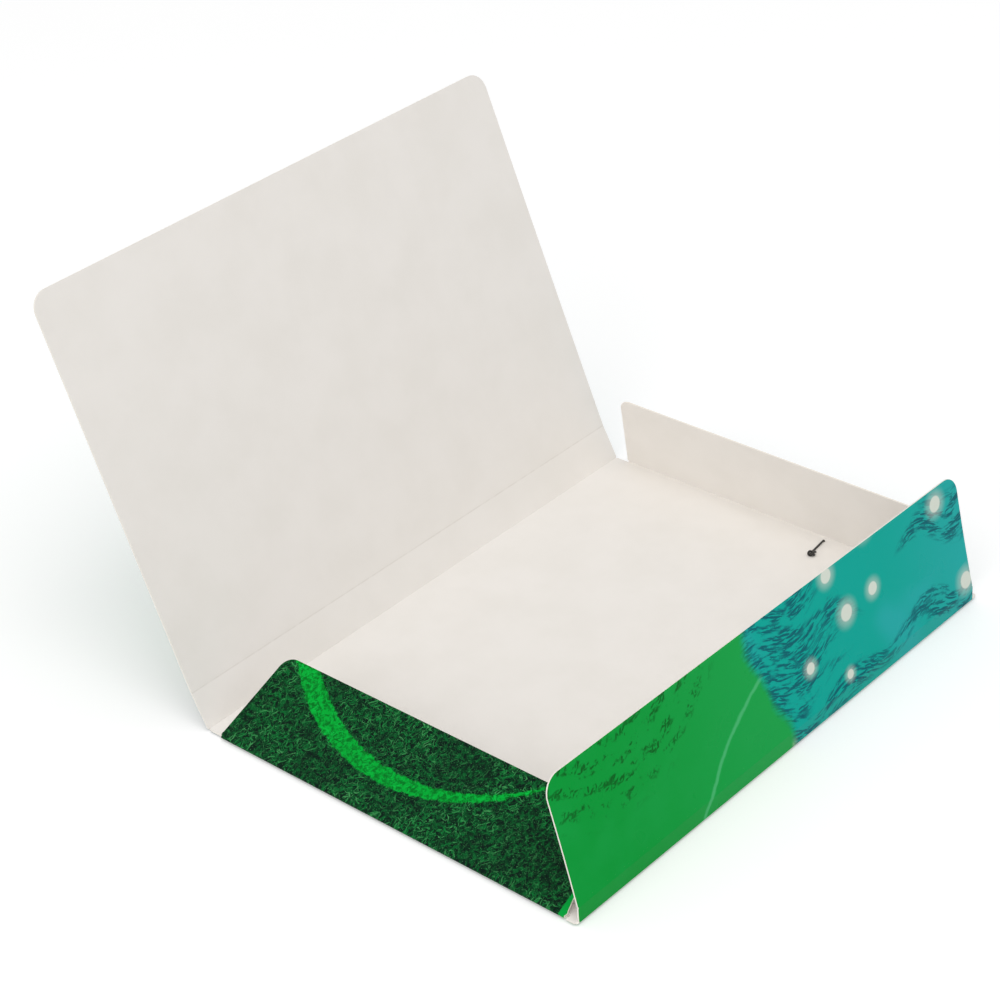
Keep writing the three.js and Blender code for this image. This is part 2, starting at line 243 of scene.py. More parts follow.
def folds(card):
    """Every crease by name, as the portfolio stands open."""
    height = card.thickness + card.axis_lift
    spine = Fold("spine_fold", None, (-card.base_width / 2, 0, height), 90)
    wall = Fold("fore_wall_fold", None, (card.base_width / 2, 0, height), -90)
    return {
        "spine": spine,
        "cover": Fold("cover_fold", spine, (0, card.spine_depth, 0), 0),
        "tail": Fold("tail_flap_fold", None, (0, -card.base_length / 2, height), 180),
        "head": Fold("head_flap_fold", None, (0, card.base_length / 2, height), 0),
        "wall": wall,
        "fore": Fold("fore_flap_fold", wall, (0, card.fore_wall_height, 0), 0),
    }


def panel_ends(card):
    """Where each panel starts and ends along its own crease, in the direction of the crease's X."""
    half_x, half_y = card.base_width / 2, card.base_length / 2
    return {
        "spine": (-half_y, half_y),
        "cover": (-half_y, half_y),
        "tail": (card.tail_fore_inset - half_x, half_x - card.tail_spine_inset),
        "head": (card.head_spine_inset - half_x, half_x - card.head_fore_inset),
        "wall": (card.wall_head_inset - half_y, half_y - card.wall_tail_inset),
        "fore": (card.fore_head_inset - half_y, half_y - card.fore_tail_inset),
    }


# How wide the strip at each fold is, to each side of the turning line
STRIP_REACH = {
    **dict.fromkeys(("spine", "cover", "tail", "head"), 2 * MM),
    **dict.fromkeys(("wall", "fore"), 1.6 * MM),
}

STRIP_COLUMNS = 24  # along the crease
STRIP_ROWS = 6  # to each side of the bend
BEND_STEP = 8  # degrees to a row of the bend
FEWEST_BEND_STEPS = 5

# The material of a card piece's faces, by its place among the three
INSIDE, PRINT, CUT = 0, 1, 2
COVER_GRID, FLAP_GRID = 9 * MM, 7 * MM  # between the points that let a panel twist
FIELD_MARGIN = 1.3  # of that spacing, from the outline to the first points inside it
CDT_INSIDE = 1  # the filling's setting that keeps only what is inside the outermost ring
HOLE_SHARE = 0.99  # of a hole's radius: a triangle whose middle is nearer than this fills the hole
CARD_SHARP_ANGLE = radians(30)
CORD_SHARP_ANGLE = radians(50)
SCORE_EDGE = 0.15 * MM, 0.6 * MM  # from a score line's middle to where it starts to fade and has faded

# The overhand knot, its sizes counted in strands
STRAND_PITCH = 1.04  # of the cord's diameter
KNOT_SPREAD = 1.12  # from the knot's middle to its crossings
KNOT_SWING = 0.5  # how far the lobes swing out and in from there
KNOT_LIFT = 0.62  # height of the upper strand over the knot's middle
KNOT_OPENING = 0.36  # part of the turn that is left open for the two leads
KNOT_STEPS = 72

# The rest of an elastic's route
CUT_END_ASIDE = np.array([1.2, 1.1])  # the cut end's two points, in shares of the knot's first point
CUT_END_RISE = np.array([-0.5, 0.4])
PAST_KNOT = 1.5 * MM  # more run between the knot and the hole
RUN_STOPS_SHORT = 1.6  # of the hole's middle, counted in the radius of the arc into it
UNDER_TURN = 1.1 * MM  # radius of the turn beside the hole, under the base
BOW_STEPS = 30
CORD_SPACING = 0.16 * MM  # between two rings of the tube
CORD_SOFTENING = 0.2 * MM  # how far the route's corners are smoothed out
CORD_SIDES = 14
CUT_END_SHARE = 0.8  # of the radius that is left at a cut end


# Meshes


def linked(name, data):
    """An object in the scene, at the origin."""
    item = bpy.data.objects.new(name, data)
    bpy.context.scene.collection.objects.link(item)
    return item


def finished(mesh, materials, sharp_angle):
    """The mesh's object, shaded smooth but for its sharp edges."""
    for material in materials:
        mesh.materials.append(material)
    mesh.shade_smooth()
    mesh.set_sharp_from_angle(angle=sharp_angle)
    mesh.validate()
    return linked(mesh.name, mesh)


def card_piece(name, points, faces, finishes, materials, flat_places):
    """A card object with one material index for each face, and its points' places on the flat sheet."""
    mesh = bpy.data.meshes.new(name)
    mesh.from_pydata(points.tolist(), [], faces)
    mesh.polygons.foreach_set("material_index", np.asarray(finishes, np.int32))
    places = mesh.attributes.new("flat_place", "FLOAT_VECTOR", "POINT")
    places.data.foreach_set("vector", np.asarray(flat_places, np.float32).ravel())
    return finished(mesh, materials, CARD_SHARP_ANGLE)


def on_circle(turns):
    """The cosine and sine of each turn, as points on a circle of radius 1."""
    return np.stack([np.cos(turns), np.sin(turns)], 1)


def run_along(line):
    """The distance travelled along a line at each of its points."""
    return np.concatenate([[0], np.cumsum(np.linalg.norm(np.diff(line, axis=0), axis=1))])


def tube_faces(rings, sides):
    """The faces of a closed tube: a strip of squares from each ring of points to the next, and two ends."""
    index = np.arange(rings * sides).reshape(rings, sides)
    following = np.roll(index, -1, 1)
    squares = np.stack([index[:-1], following[:-1], following[1:], index[1:]], -1).reshape(-1, 4)
    return squares.tolist() + [index[0, ::-1].tolist(), index[-1].tolist()]


def rounded_outline(corners, steps=8):
    """A closed line through corners [x, y, radius], counter-clockwise, each rounded by an arc.

    A point of an arc is its middle plus the radius along a direction that turns evenly from the foot on
    one side of the corner to the foot on the other.
    """
    points = []
    places = np.array([corner[:2] for corner in corners], float)
    for index, (*_, radius) in enumerate(corners):
        here = places[index]
        before = places[index - 1] - here
        after = places[(index + 1) % len(corners)] - here
        before /= np.linalg.norm(before)
        after /= np.linalg.norm(after)
        if radius <= 0:
            points.append(here[None])
            continue
        half = np.arccos(np.clip(before @ after, -1, 1)) / 2
        inward = (before + after) / np.linalg.norm(before + after)
        middle = here + inward * radius / sin(half)
        start = here + before * radius / np.tan(half) - middle
        end = here + after * radius / np.tan(half) - middle
        first = atan2(start[1], start[0])
        sweep = (atan2(end[1], end[0]) - first + pi) % (2 * pi) - pi
        turns = first + sweep * np.linspace(0, 1, steps + 1)
        points.append(middle + radius * on_circle(turns))
    return np.concatenate(points)


def clipped(outline, axis, level, side):
    """The part of a closed line on one side of a level, which the line crosses twice or not at all."""
    past = side * (outline[:, axis] - level) >= -1e-9
    if past.all():
        return outline
    start = np.flatnonzero(past & ~np.roll(past, 1))[0]
    ring = np.roll(outline, -start, 0)
    kept = ring[: past.sum()]

    def crossing(inner, outer):
        share = (level - inner[axis]) / (outer[axis] - inner[axis])
        return inner + share * (outer - inner)

    entering = crossing(kept[0], ring[-1])
    leaving = crossing(kept[-1], ring[len(kept)])
    return np.concatenate([entering[None], kept, leaving[None]])


def without_doubles(outline):
    """A closed line without points that repeat the one before."""
    step = np.linalg.norm(outline - np.roll(outline, 1, 0), axis=1)
    return outline[step > 1e-6]


def subdivided(outline, spacing):
    """A closed line with points added evenly on every side longer than the spacing."""
    parts = []
    for here, following in zip(outline, np.roll(outline, -1, 0)):
        count = max(1, ceil(np.linalg.norm(following - here) / spacing))
        shares = np.arange(count)[:, None] / count
        parts.append(here + shares * (following - here))
    return np.concatenate(parts)


def inset_steps(outline, seams, width):
    """How each point of a closed line moves inwards, so that every side but the seams moves by the width.

    Where two sides meet, the step solves that it goes in by each side's own width. A side is a seam when
    both its ends lie on one seam level, given as (axis, level).
    """
    side = np.roll(outline, -1, 0) - outline
    side /= np.linalg.norm(side, axis=1)[:, None]
    inward = np.stack([-side[:, 1], side[:, 0]], 1)
    seam = np.zeros(len(outline), bool)
    for axis, level in seams:
        near = np.abs(outline[:, axis] - level) < 1e-7
        seam |= near & np.roll(near, -1)
    goes_in = np.where(seam, 0.0, width)
    normal_before, width_before = np.roll(inward, 1, 0), np.roll(goes_in, 1)
    turn = np.clip((inward * normal_before).sum(1), -0.999999, 1)
    even = (width_before / (1 + turn))[:, None] * (inward + normal_before)
    spread = np.maximum(1 - turn**2, 1e-6)
    share_before = (width_before - turn * goes_in) / spread
    share_after = (goes_in - turn * width_before) / spread
    uneven = share_before[:, None] * normal_before + share_after[:, None] * inward
    return np.where(np.isclose(goes_in, width_before)[:, None], even, uneven)


def face_triangles(places, here, following, holes, bevel):
    """The triangles, counter-clockwise, that fill a face. Its rings run from each point to its following."""
    ring_sides = np.stack([here, following], 1).tolist()
    filled = delaunay_2d_cdt(places.tolist(), ring_sides, [], CDT_INSIDE, 1e-9)
    source = np.array([ids[0] for ids in filled[3]])
    triangles = source[np.array(filled[2])]
    middles = places[triangles].mean(1)
    # The filling also covers the holes, and its triangles in them are dropped
    for hole in holes:
        centre = hole.mean(0)
        radius = np.linalg.norm(hole[0] - centre) + bevel
        keep = np.linalg.norm(middles - centre, axis=1) > HOLE_SHARE * radius
        triangles, middles = triangles[keep], middles[keep]
    corners = places[triangles]
    first, second = corners[:, 1] - corners[:, 0], corners[:, 2] - corners[:, 0]
    clockwise = first[:, 0] * second[:, 1] - first[:, 1] * second[:, 0] < 0
    triangles[clockwise] = triangles[clockwise][:, ::-1]
    return triangles


def card_panel(name, outline, seams, fold, materials, card, holes=(), warp=None, spacing=None):
    """One panel of card.

    Its cut edge is a profile of four points, which bevels both faces into the edge, carried along the
    outline and round each hole. The two faces fill what it leaves. The warp gives how far a point (x, y)
    moves off the panel's plane, and a panel with a warp gets a grid of points at the spacing.
    """
    if spacing:
        outline = subdivided(outline, spacing)
    rings = [outline, *holes]
    starts = np.cumsum([0] + [len(ring) for ring in rings])
    edge = np.concatenate(rings)
    steps = np.concatenate([inset_steps(ring, seams, card.edge_round) for ring in rings])
    inside = -card.axis_lift
    outside = inside - card.thickness
    heights = [inside, inside - card.edge_round, outside + card.edge_round, outside]
    following = np.concatenate([
        start + (np.arange(len(ring)) + 1) % len(ring) for start, ring in zip(starts, rings)
    ])
    here = np.arange(len(edge))
    field = np.zeros((0, 2))
    if spacing:
        margin = FIELD_MARGIN * spacing
        low, high = outline.min(0) + margin, outline.max(0) - margin
        counts = np.ceil((high - low) / spacing).astype(int)
        lines = [np.linspace(*span) for span in zip(low, high, counts)]
        field = np.stack(np.meshgrid(*lines), -1).reshape(-1, 2)
    places = np.concatenate([edge + steps, field])
    triangles = face_triangles(places, here, following, holes, card.edge_round)
    count = len(edge)
    plans = [edge + steps, edge, edge, edge + steps, field, field]
    levels = [*heights, inside, outside]
    flat = np.concatenate([
        np.column_stack([plan, np.full(len(plan), level)]) for plan, level in zip(plans, levels)
    ])
    shaped = flat.copy()
    if warp:
        shaped[:, 2] += warp(flat[:, 0], flat[:, 1])
    in_field = triangles >= count
    upper = np.where(in_field, triangles + 3 * count, triangles)
    lower = np.where(in_field, triangles + 3 * count + len(field), triangles + 3 * count)
    near, far = (points + count * np.arange(3)[:, None] for points in (here, following))
    band = np.stack([near, near + count, far + count, far], -1).reshape(-1, 4)
    faces = upper.tolist() + lower[:, ::-1].tolist() + band.tolist()
    finishes = [INSIDE] * len(upper) + [PRINT] * len(lower) + [CUT] * (3 * count)
    panel = fold.panel if fold else moved(0, 0, card.thickness + card.axis_lift)
    laid = fold.flat if fold else np.eye(4)
    flat[:, 2] = 0
    spot = placed(flat, laid)
    spot[:, 2] = 0
    return card_piece(name, placed(shaped, panel), faces, finishes, materials, spot)


def corner_loss(distance, radius, setback):
    """How much a side is shortened by its corner's arc, at a distance from the crease."""
    inside = np.clip(radius - (distance - setback), 0, radius)
    return radius - np.sqrt(radius**2 - inside**2)


def crease_strip(name, fold, reach, before, after, materials, card):
    """The card at one fold, from a little before the turning line to a little after it.

    Its section runs level to the turning line, round it on two arcs, one for each face, and level again
    in the folded panel. The section is carried along the crease, whose ends follow the corners on both
    sides. Before and after are (start, end, corner radius) along the crease.
    """
    columns = STRIP_COLUMNS
    level = np.linspace(-reach, 0, STRIP_ROWS + 1)[:-1]
    arc_count = max(FEWEST_BEND_STEPS, ceil(np.degrees(fold.turn) / BEND_STEP))
    arc = np.linspace(0, fold.turn, arc_count + 1)
    inner_radius = card.axis_lift
    outer_radius = card.axis_lift + card.thickness
    ahead = -level[::-1]
    loss_before = corner_loss(-level, before[2], card.setback)
    loss_after = corner_loss(ahead, after[2], card.setback)
    low = np.concatenate([
        before[0] + loss_before,
        np.linspace(before[0] + before[2], after[0] + after[2], arc_count + 1),
        after[0] + loss_after,
    ])
    high = np.concatenate([
        before[1] - loss_before,
        np.linspace(before[1] - before[2], after[1] - after[2], arc_count + 1),
        after[1] - loss_after,
    ])

    def section(radius):
        before_line = np.stack([level, np.full(len(level), -radius)], 1)
        bend = radius * np.stack([np.sin(arc), -np.cos(arc)], 1)
        across = np.stack([cos(fold.turn) * ahead, sin(fold.turn) * ahead], 1)
        return np.concatenate([before_line, bend, bend[-1] + across])

    inner, outer = section(inner_radius), section(outer_radius)
    bevel = card.edge_round
    share = bevel / card.thickness
    spans = np.linspace(0, 1, columns + 1)
    face_x = (low + bevel)[:, None] + spans * (high - low - 2 * bevel)[:, None]
    along = np.concatenate([
        face_x, high[:, None], high[:, None], face_x[:, ::-1], low[:, None], low[:, None]
    ], 1)
    depth = np.concatenate([
        np.zeros(columns + 1), [share, 1 - share], np.ones(columns + 1), [1 - share, share]
    ])
    across = inner[:, None] + depth[None, :, None] * (outer - inner)[:, None]
    points = np.concatenate([along[..., None], across], 2)
    rows, around = along.shape
    # On the flat sheet the arcs take the room between the two levels, so nothing is drawn out at one line
    walk = run_along(outer)
    sheet_y = reach * (2 * walk / walk[-1] - 1)
    sheet = np.stack([along, np.broadcast_to(sheet_y[:, None], along.shape), np.zeros_like(along)], 2)
    edge = [CUT] * 3
    kinds = [INSIDE] * columns + edge + [PRINT] * columns + edge
    finishes = kinds * (rows - 1) + [CUT] * 2
    shaped = placed(points.reshape(-1, 3), fold.frame)
    spot = placed(sheet.reshape(-1, 3), fold.flat)
    spot[:, 2] = 0
    return card_piece(name, shaped, tube_faces(rows, around), finishes, materials, spot)


def blend_over(piece):
    """Bakes the strip's place into its mesh, where it stays: it does not bend between its two bodies."""
    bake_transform(piece)


# Outlines of the panels


def base_outline(card):
    """The base between its four strips, with an ear past each end crease at its two fore corners."""
    half_x, half_y = card.base_width / 2, card.base_length / 2
    fold_x = half_x - card.setback
    edge_y = half_y - card.setback
    ear_y = half_y + card.ear
    notch_y = half_y - STRIP_REACH["tail"]
    tail_spine = card.tail_spine_inset - half_x
    head_spine = card.head_spine_inset - half_x
    tail_slit = half_x - card.tail_fore_inset + card.ear_slit
    head_slit = half_x - card.head_fore_inset + card.ear_slit
    slit_corner = card.ear_slit / 2
    outline = rounded_outline([
        [-fold_x, -edge_y, card.spine_corner],
        [tail_spine, -edge_y, 0],
        [tail_spine, -notch_y, 0],
        [tail_slit, -notch_y, 0],
        [tail_slit, -ear_y, slit_corner],
        [fold_x, -ear_y, card.ear_corner],
        [fold_x, ear_y, card.ear_corner],
        [head_slit, ear_y, slit_corner],
        [head_slit, notch_y, 0],
        [head_spine, notch_y, 0],
        [head_spine, edge_y, 0],
        [-fold_x, edge_y, card.spine_corner],
    ])
    low, high = STRIP_REACH["spine"] - half_x, half_x - STRIP_REACH["wall"]
    outline = clipped(clipped(outline, 0, low, 1), 0, high, -1)
    seams = [(0, low), (0, high), (1, notch_y), (1, -notch_y)]
    return without_doubles(outline), seams


def flap_outline(ends, depth, root_corner, tip_corner, taper, reach, tip_reach, card):
    """A panel that turns about X at y = 0, less the strips at its crease and, if it has one, at its tip."""
    start, end = ends
    far = depth - card.setback if tip_reach else depth
    outline = rounded_outline([
        [start, card.setback, root_corner],
        [end, card.setback, root_corner],
        [end - taper, far, tip_corner],
        [start + taper, far, tip_corner],
    ])
    outline = clipped(outline, 1, reach, 1)
    seams = [(1, reach)]
    if tip_reach:
        outline = clipped(outline, 1, depth - tip_reach, -1)
        seams.append((1, depth - tip_reach))
    return without_doubles(outline), seams


def hole_places(card, elastic, side):
    """The middles of the two holes of one elastic."""
    half_x, half_y = card.base_width / 2, card.base_length / 2
    reaches = (elastic.from_corner, elastic.from_crease), (elastic.from_crease, elastic.from_corner)
    return [(half_x - from_fore, side * (half_y - from_end)) for from_fore, from_end in reaches]


def hole_ring(middle, radius, steps=24):
    """A circle, clockwise, so that the card is on its left."""
    turns = -np.arange(steps) * 2 * pi / steps
    return np.array(middle) + radius * on_circle(turns)


# Cords


def knot_line(strand):
    """The middle line of an overhand knot, from the cut end to the lead.

    A trefoil: it turns twice about the middle while its radius swings three times and its height rises
    and falls three times. A part of its turn is left open for the two leads.
    """
    turn = np.linspace(KNOT_OPENING, 2 * pi - KNOT_OPENING, KNOT_STEPS + 1)
    radius = strand * (KNOT_SPREAD + KNOT_SWING * np.cos(3 * turn))
    height = strand * KNOT_LIFT * np.sin(3 * turn)
    return np.stack([radius * np.cos(2 * turn), radius * np.sin(2 * turn), height], 1)


def elastic_half(card, elastic):
    """Half an elastic, from its cut end to the bow's middle, seen from its corner of the base.

    The knot lies on the inside, a straight run goes to the hole, a quarter arc leads into it and another
    out of it, and under the base a parabola bows outwards to the corner's diagonal.
    """
    cord = elastic.diameter
    seat = cord / 2 + elastic.seat
    strand = STRAND_PITCH * cord
    knot_reach = (KNOT_SPREAD + KNOT_SWING) * strand
    hole = np.array([-elastic.from_corner, -elastic.from_crease])
    towards = np.array([-sin(elastic.lean), cos(elastic.lean)])
    aside = np.array([-towards[1], towards[0]])
    lift = card.thickness + seat
    middle = lift + KNOT_LIFT * strand
    knot = knot_line(strand) * [1, -1, 1]
    out = knot_reach + PAST_KNOT + elastic.end_run

    def place(ahead, sideways, height):
        ahead, sideways, height = np.broadcast_arrays(ahead, sideways, height)
        plan = hole + towards * (ahead - out)[..., None] + aside * (sideways - knot[-1, 1])[..., None]
        return np.column_stack([plan.reshape(-1, 2), height.reshape(-1)])

    quarter = np.linspace(0, pi / 2, 5)
    sine, cosine = np.sin(quarter), np.cos(quarter)
    cut_end = place(
        np.array([knot_reach + elastic.tail, knot_reach + elastic.tail / 3]),
        knot[0, 1] * CUT_END_ASIDE,
        middle + knot[0, 2] * CUT_END_RISE,
    )
    inside_run = place(np.linspace(knot_reach + cord, out - RUN_STOPS_SHORT * seat, 6), knot[-1, 1], lift)
    into_hole = place(out - seat * (1 - sine), knot[-1, 1], card.thickness + seat * cosine)
    out_of_hole = place(out + seat * (1 - cosine), knot[-1, 1], -seat * sine)
    centre = out_of_hole[-1, :2] - aside * UNDER_TURN
    turns = np.linspace(pi + elastic.lean, pi / 2, 5)[1:]
    towards_corner = np.column_stack([
        centre + UNDER_TURN * on_circle(turns),
        np.full(len(turns), -seat),
    ])
    start_along = (towards_corner[-1, 0] - towards_corner[-1, 1]) / sqrt(2)
    start_out = (towards_corner[-1, 0] + towards_corner[-1, 1]) / sqrt(2)
    middle_out = hole.sum() / sqrt(2) + elastic.bow
    share = (np.arange(1, BOW_STEPS + 1) / BOW_STEPS) ** 2
    along = start_along * (1 - share)
    outwards = middle_out - (middle_out - start_out) * (1 - share) ** 2
    bow = np.stack([outwards + along, outwards - along, np.full(BOW_STEPS, -seat * sqrt(2))], 1) / sqrt(2)
    in_knot = place(knot[:, 0], knot[:, 1], middle + knot[:, 2])
    return np.concatenate([cut_end, in_knot, inside_run, into_hole, out_of_hole, towards_corner, bow])


def smooth_line(points, spacing, spread):
    """A line through points, sampled evenly and softened by a bell-shaped average, its ends kept."""
    walk = run_along(points)
    count = ceil(walk[-1] / spacing)
    even = np.linspace(0, walk[-1], count + 1)
    line = np.stack([np.interp(even, walk, points[:, axis]) for axis in range(3)], 1)
    reach = ceil(3 * spread / spacing)
    offsets = np.arange(-reach, reach + 1)
    bell = np.exp(-0.5 * (offsets * spacing / spread) ** 2)
    bell /= bell.sum()
    first = 2 * line[0] - line[reach:0:-1]
    last = 2 * line[-1] - line[-2:-reach - 2:-1]
    padded = np.concatenate([first, line, last])
    return np.stack([np.convolve(padded[:, axis], bell, "valid") for axis in range(3)], 1)


def tube_frames(line):
    """For each point of a line two sideways directions that don't twist along it.

    Each sideways direction is first any one square to the line. The turn by which it differs from the
    one before, carried over the bend, is summed up and taken back.
    """
    ahead = np.gradient(line, axis=0)
    ahead /= np.linalg.norm(ahead, axis=1)[:, None]
    axis = np.eye(3)[np.abs(ahead).argmin(1)]
    rough = np.cross(ahead, axis)
    rough /= np.linalg.norm(rough, axis=1)[:, None]
    pivot = np.cross(ahead[:-1], ahead[1:])
    lean = (ahead[:-1] * ahead[1:]).sum(1)[:, None]
    across = np.cross(pivot, rough[:-1])
    carried = rough[:-1] + across + np.cross(pivot, across) / (1 + lean)
    sideways = (np.cross(carried, rough[1:]) * ahead[1:]).sum(1)
    twist = np.concatenate([[0], np.cumsum(np.arctan2(sideways, (carried * rough[1:]).sum(1)))])[:, None]
    first = np.cos(twist) * rough - np.sin(twist) * np.cross(ahead, rough)
    return first, np.cross(ahead, first)


def add_cord(name, line, radius, material):
    """A round tube: a circle carried along a line, drawn in a little at its two cut ends.

    Its UV map has once round the cord across, and millimetres along the cord up.
    """
    sides = CORD_SIDES
    first, second = tube_frames(line)
    turns = np.arange(sides) * 2 * pi / sides
    swell = np.ones(len(line))
    swell[[0, -1]] = CUT_END_SHARE
    circle = np.cos(turns)[None, :, None] * first[:, None] + np.sin(turns)[None, :, None] * second[:, None]
    points = line[:, None] + radius * swell[:, None, None] * circle
    rows = len(line)
    mesh = bpy.data.meshes.new(name)
    mesh.from_pydata(points.reshape(-1, 3).tolist(), [], tube_faces(rows, sides))
    walk = run_along(line) / MM
    column = np.arange(sides) / sides
    corner_u = np.stack([column, column + 1 / sides, column + 1 / sides, column], -1)
    corner_u = np.broadcast_to(corner_u, (rows - 1, sides, 4))
    corner_v = np.stack([walk[:-1], walk[:-1], walk[1:], walk[1:]], -1)[:, None]
    corner_v = np.broadcast_to(corner_v, (rows - 1, sides, 4))
    wall = np.stack([corner_u, corner_v], -1).reshape(-1, 2)
    ends = np.zeros((2 * sides, 2))
    mesh.uv_layers.new(name="braid").data.foreach_set("uv", np.concatenate([wall, ends]).ravel())
    return finished(mesh, [material], CORD_SHARP_ANGLE)


# Shader nodes


def lay(tree, kind, inputs=None, **settings):
    """A new node, with its settings made and each input linked or set."""
    node = tree.nodes.new(kind)
    for key, value in settings.items():
        setattr(node, key, value)
    for key, value in (inputs or {}).items():
        if isinstance(value, bpy.types.NodeSocket):
            tree.links.new(value, node.inputs[key])
        else:
            node.inputs[key].default_value = value
    return node


def calc(operation, tree, *terms, clamp=False):
    """The result of a Math node."""
    node = lay(tree, "ShaderNodeMath", dict(enumerate(terms)), operation=operation, use_clamp=clamp)
    return node.outputs[0]


plus, less, times, larger = (partial(calc, name) for name in ("ADD", "SUBTRACT", "MULTIPLY", "MAXIMUM"))


def fade(tree, value, low, high, start=0.0, end=1.0):
    """A smooth step of a value, from start at low to end at high."""
    inputs = {"Value": value, "From Min": low, "From Max": high, "To Min": start, "To Max": end}
    return lay(tree, "ShaderNodeMapRange", inputs, interpolation_type="SMOOTHSTEP").outputs["Result"]


def tint(tree, share, first, second):
    """The first colour where share is 0 and the second where it is 1."""
    sides = [
        value if isinstance(value, bpy.types.NodeSocket) else (*value, 1) for value in (first, second)
    ]
    node = lay(tree, "ShaderNodeMix", {0: share, 6: sides[0], 7: sides[1]}, data_type="RGBA")
    return node.outputs[2]


def noise(tree, place, grains, detail=2.0, rough=0.5, distortion=0.0):
    """A noise value about 0.5, with the given number of grains to a metre."""
    inputs = {"Vector": place, "Scale": grains, "Detail": detail, "Roughness": rough}
    return lay(tree, "ShaderNodeTexNoise", {**inputs, "Distortion": distortion}).outputs[0]


def mottle(tree, place, looks, low, high, start=0.0, end=1.0):
    """A noise whose values from low to high are faded from start to end. The looks are noise's own."""
    return fade(tree, noise(tree, place, *looks), low, high, start, end)


def stretched(tree, place, x=1.0, y=1.0, turn=0.0, shift=(0.0, 0.0)):
    """A place scaled along X and Y, then turned about Z and shifted."""
    inputs = {"Vector": place, "Scale": (x, y, 1.0), "Rotation": (0.0, 0.0, turn), "Location": (*shift, 0.0)}
    return lay(tree, "ShaderNodeMapping", inputs).outputs[0]


def on_vectors(tree, operation, inputs, output="Vector"):
    """The result of a Vector Math node."""
    return lay(tree, "ShaderNodeVectorMath", inputs, operation=operation).outputs[output]


def distance_from(tree, place, spot):
    """The distance from a spot on the flat sheet."""
    return on_vectors(tree, "DISTANCE", {0: place, 1: (*spot, 0.0)}, "Value")


def axes_of(tree, place):
    """The X and the Y of a place."""
    return lay(tree, "ShaderNodeSeparateXYZ", {0: place}).outputs[:2]


def scattered(tree, place, randomness=1.0):
    """Scattered points, one to each unit square: the nearest one's node, and its three chance values."""
    inputs = {"Vector": place, "Scale": 1.0, "Randomness": randomness}
    cells = lay(tree, "ShaderNodeTexVoronoi", inputs, voronoi_dimensions="2D")
    return cells, lay(tree, "ShaderNodeSeparateColor", {0: cells.outputs["Color"]}).outputs


def new_group(name, inputs, outputs):
    """A shader node group whose first input is a place and whose other sockets are named values."""
    group = bpy.data.node_groups.new(name, "ShaderNodeTree")
    group.interface.new_socket("Place", in_out="INPUT", socket_type="NodeSocketVector")
    for names, side in ((inputs, "INPUT"), (outputs, "OUTPUT")):
        for socket in names:
            group.interface.new_socket(socket, in_out=side, socket_type="NodeSocketFloat")
    return group, group.nodes.new("NodeGroupInput").outputs, group.nodes.new("NodeGroupOutput").inputs


def group_values(tree, maker, place, values):
    """The outputs of a node group, which is made the first time that it is asked for."""
    group = bpy.data.node_groups.get(maker.__name__) or maker()
    return lay(tree, "ShaderNodeGroup", {"Place": place, **values}, node_tree=group).outputs


def card_grain():
    """Card grain: fine fibres that lie in two directions, and soft patches."""
    group, given, result = new_group("card_grain", ["Grains"], ["Fibre", "Patch"])
    place, grains = given["Place"], given["Grains"]
    along = noise(group, stretched(group, place, y=0.28, turn=0.5), grains, 3.0, 0.6, 0.4)
    crossing = stretched(group, place, x=0.3, turn=-0.4, shift=(0.7, 0.3))
    across = noise(group, crossing, grains, 3.0, 0.6, 0.4)
    group.links.new(times(group, plus(group, along, across), 0.5), result["Fibre"])
    patch = noise(group, place, times(group, grains, 0.012), 3.0, 0.55)
    group.links.new(patch, result["Patch"])
    return group


def grain(tree, place, grains):
    """The fibre and patch values of the card grain, with so many fibres to a metre."""
    values = group_values(tree, card_grain, place, {"Grains": grains})
    return values["Fibre"], values["Patch"]


def blade_strokes():
    """Short curved strokes, one to each cell of a scattered pattern.

    In a cell, u runs along the stroke and v across it, both 0 at the cell's point. The stroke is where v
    less a bend times u squared is within its half width, which narrows to nothing at its half length.
    """
    names = ["Cell", "Aim", "Spread", "Bend", "Half width"]
    group, given, result = new_group("blade_strokes", names, ["Stroke", "Tone"])
    scale = calc("DIVIDE", group, 1.0, given["Cell"])
    spot = on_vectors(group, "SCALE", {0: given["Place"], "Scale": scale})
    cells, chance = scattered(group, spot)
    local = on_vectors(group, "SUBTRACT", {0: spot, 1: cells.outputs["Position"]})
    turn = calc("MULTIPLY_ADD", group, less(group, chance[0], 0.5), given["Spread"], given["Aim"])
    inputs = {"Vector": local, "Angle": turn}
    turned = lay(group, "ShaderNodeVectorRotate", inputs, rotation_type="Z_AXIS", invert=True).outputs[0]
    u, v = axes_of(group, turned)
    square = times(group, u, u)
    bend = times(group, less(group, chance[1], 0.5), given["Bend"])
    away = calc("ABSOLUTE", group, less(group, v, times(group, bend, square)))
    # The half length is 0.6 of a cell
    narrowing = less(group, 1.0, times(group, square, 2.8), clamp=True)
    reach = times(group, given["Half width"], narrowing)
    stroke = less(group, 1.0, calc("DIVIDE", group, away, plus(group, reach, 0.001)), clamp=True)
    full = times(group, stroke, 2.2, clamp=True)
    # Past its half length the stroke would otherwise run on as a hair
    whole = times(group, narrowing, 9.0, clamp=True)
    group.links.new(times(group, full, whole), result["Stroke"])
    group.links.new(chance[2], result["Tone"])
    return group


def blades(tree, place, cell, aim, spread, bend, half_width):
    """The stroke and tone values of one scatter of curved strokes.

    The cell is in metres, the aim and its spread in radians, and the half width in cells.
    """
    values = {"Cell": cell, "Aim": aim, "Spread": spread, "Bend": bend, "Half width": half_width}
    outputs = group_values(tree, blade_strokes, place, values)
    return outputs["Stroke"], outputs["Tone"]


def new_material(name):
    """An empty material with its surface shader."""
    material = bpy.data.materials.new(name)
    material.use_nodes = True
    tree = material.node_tree
    return material, tree, tree.nodes["Principled BSDF"]


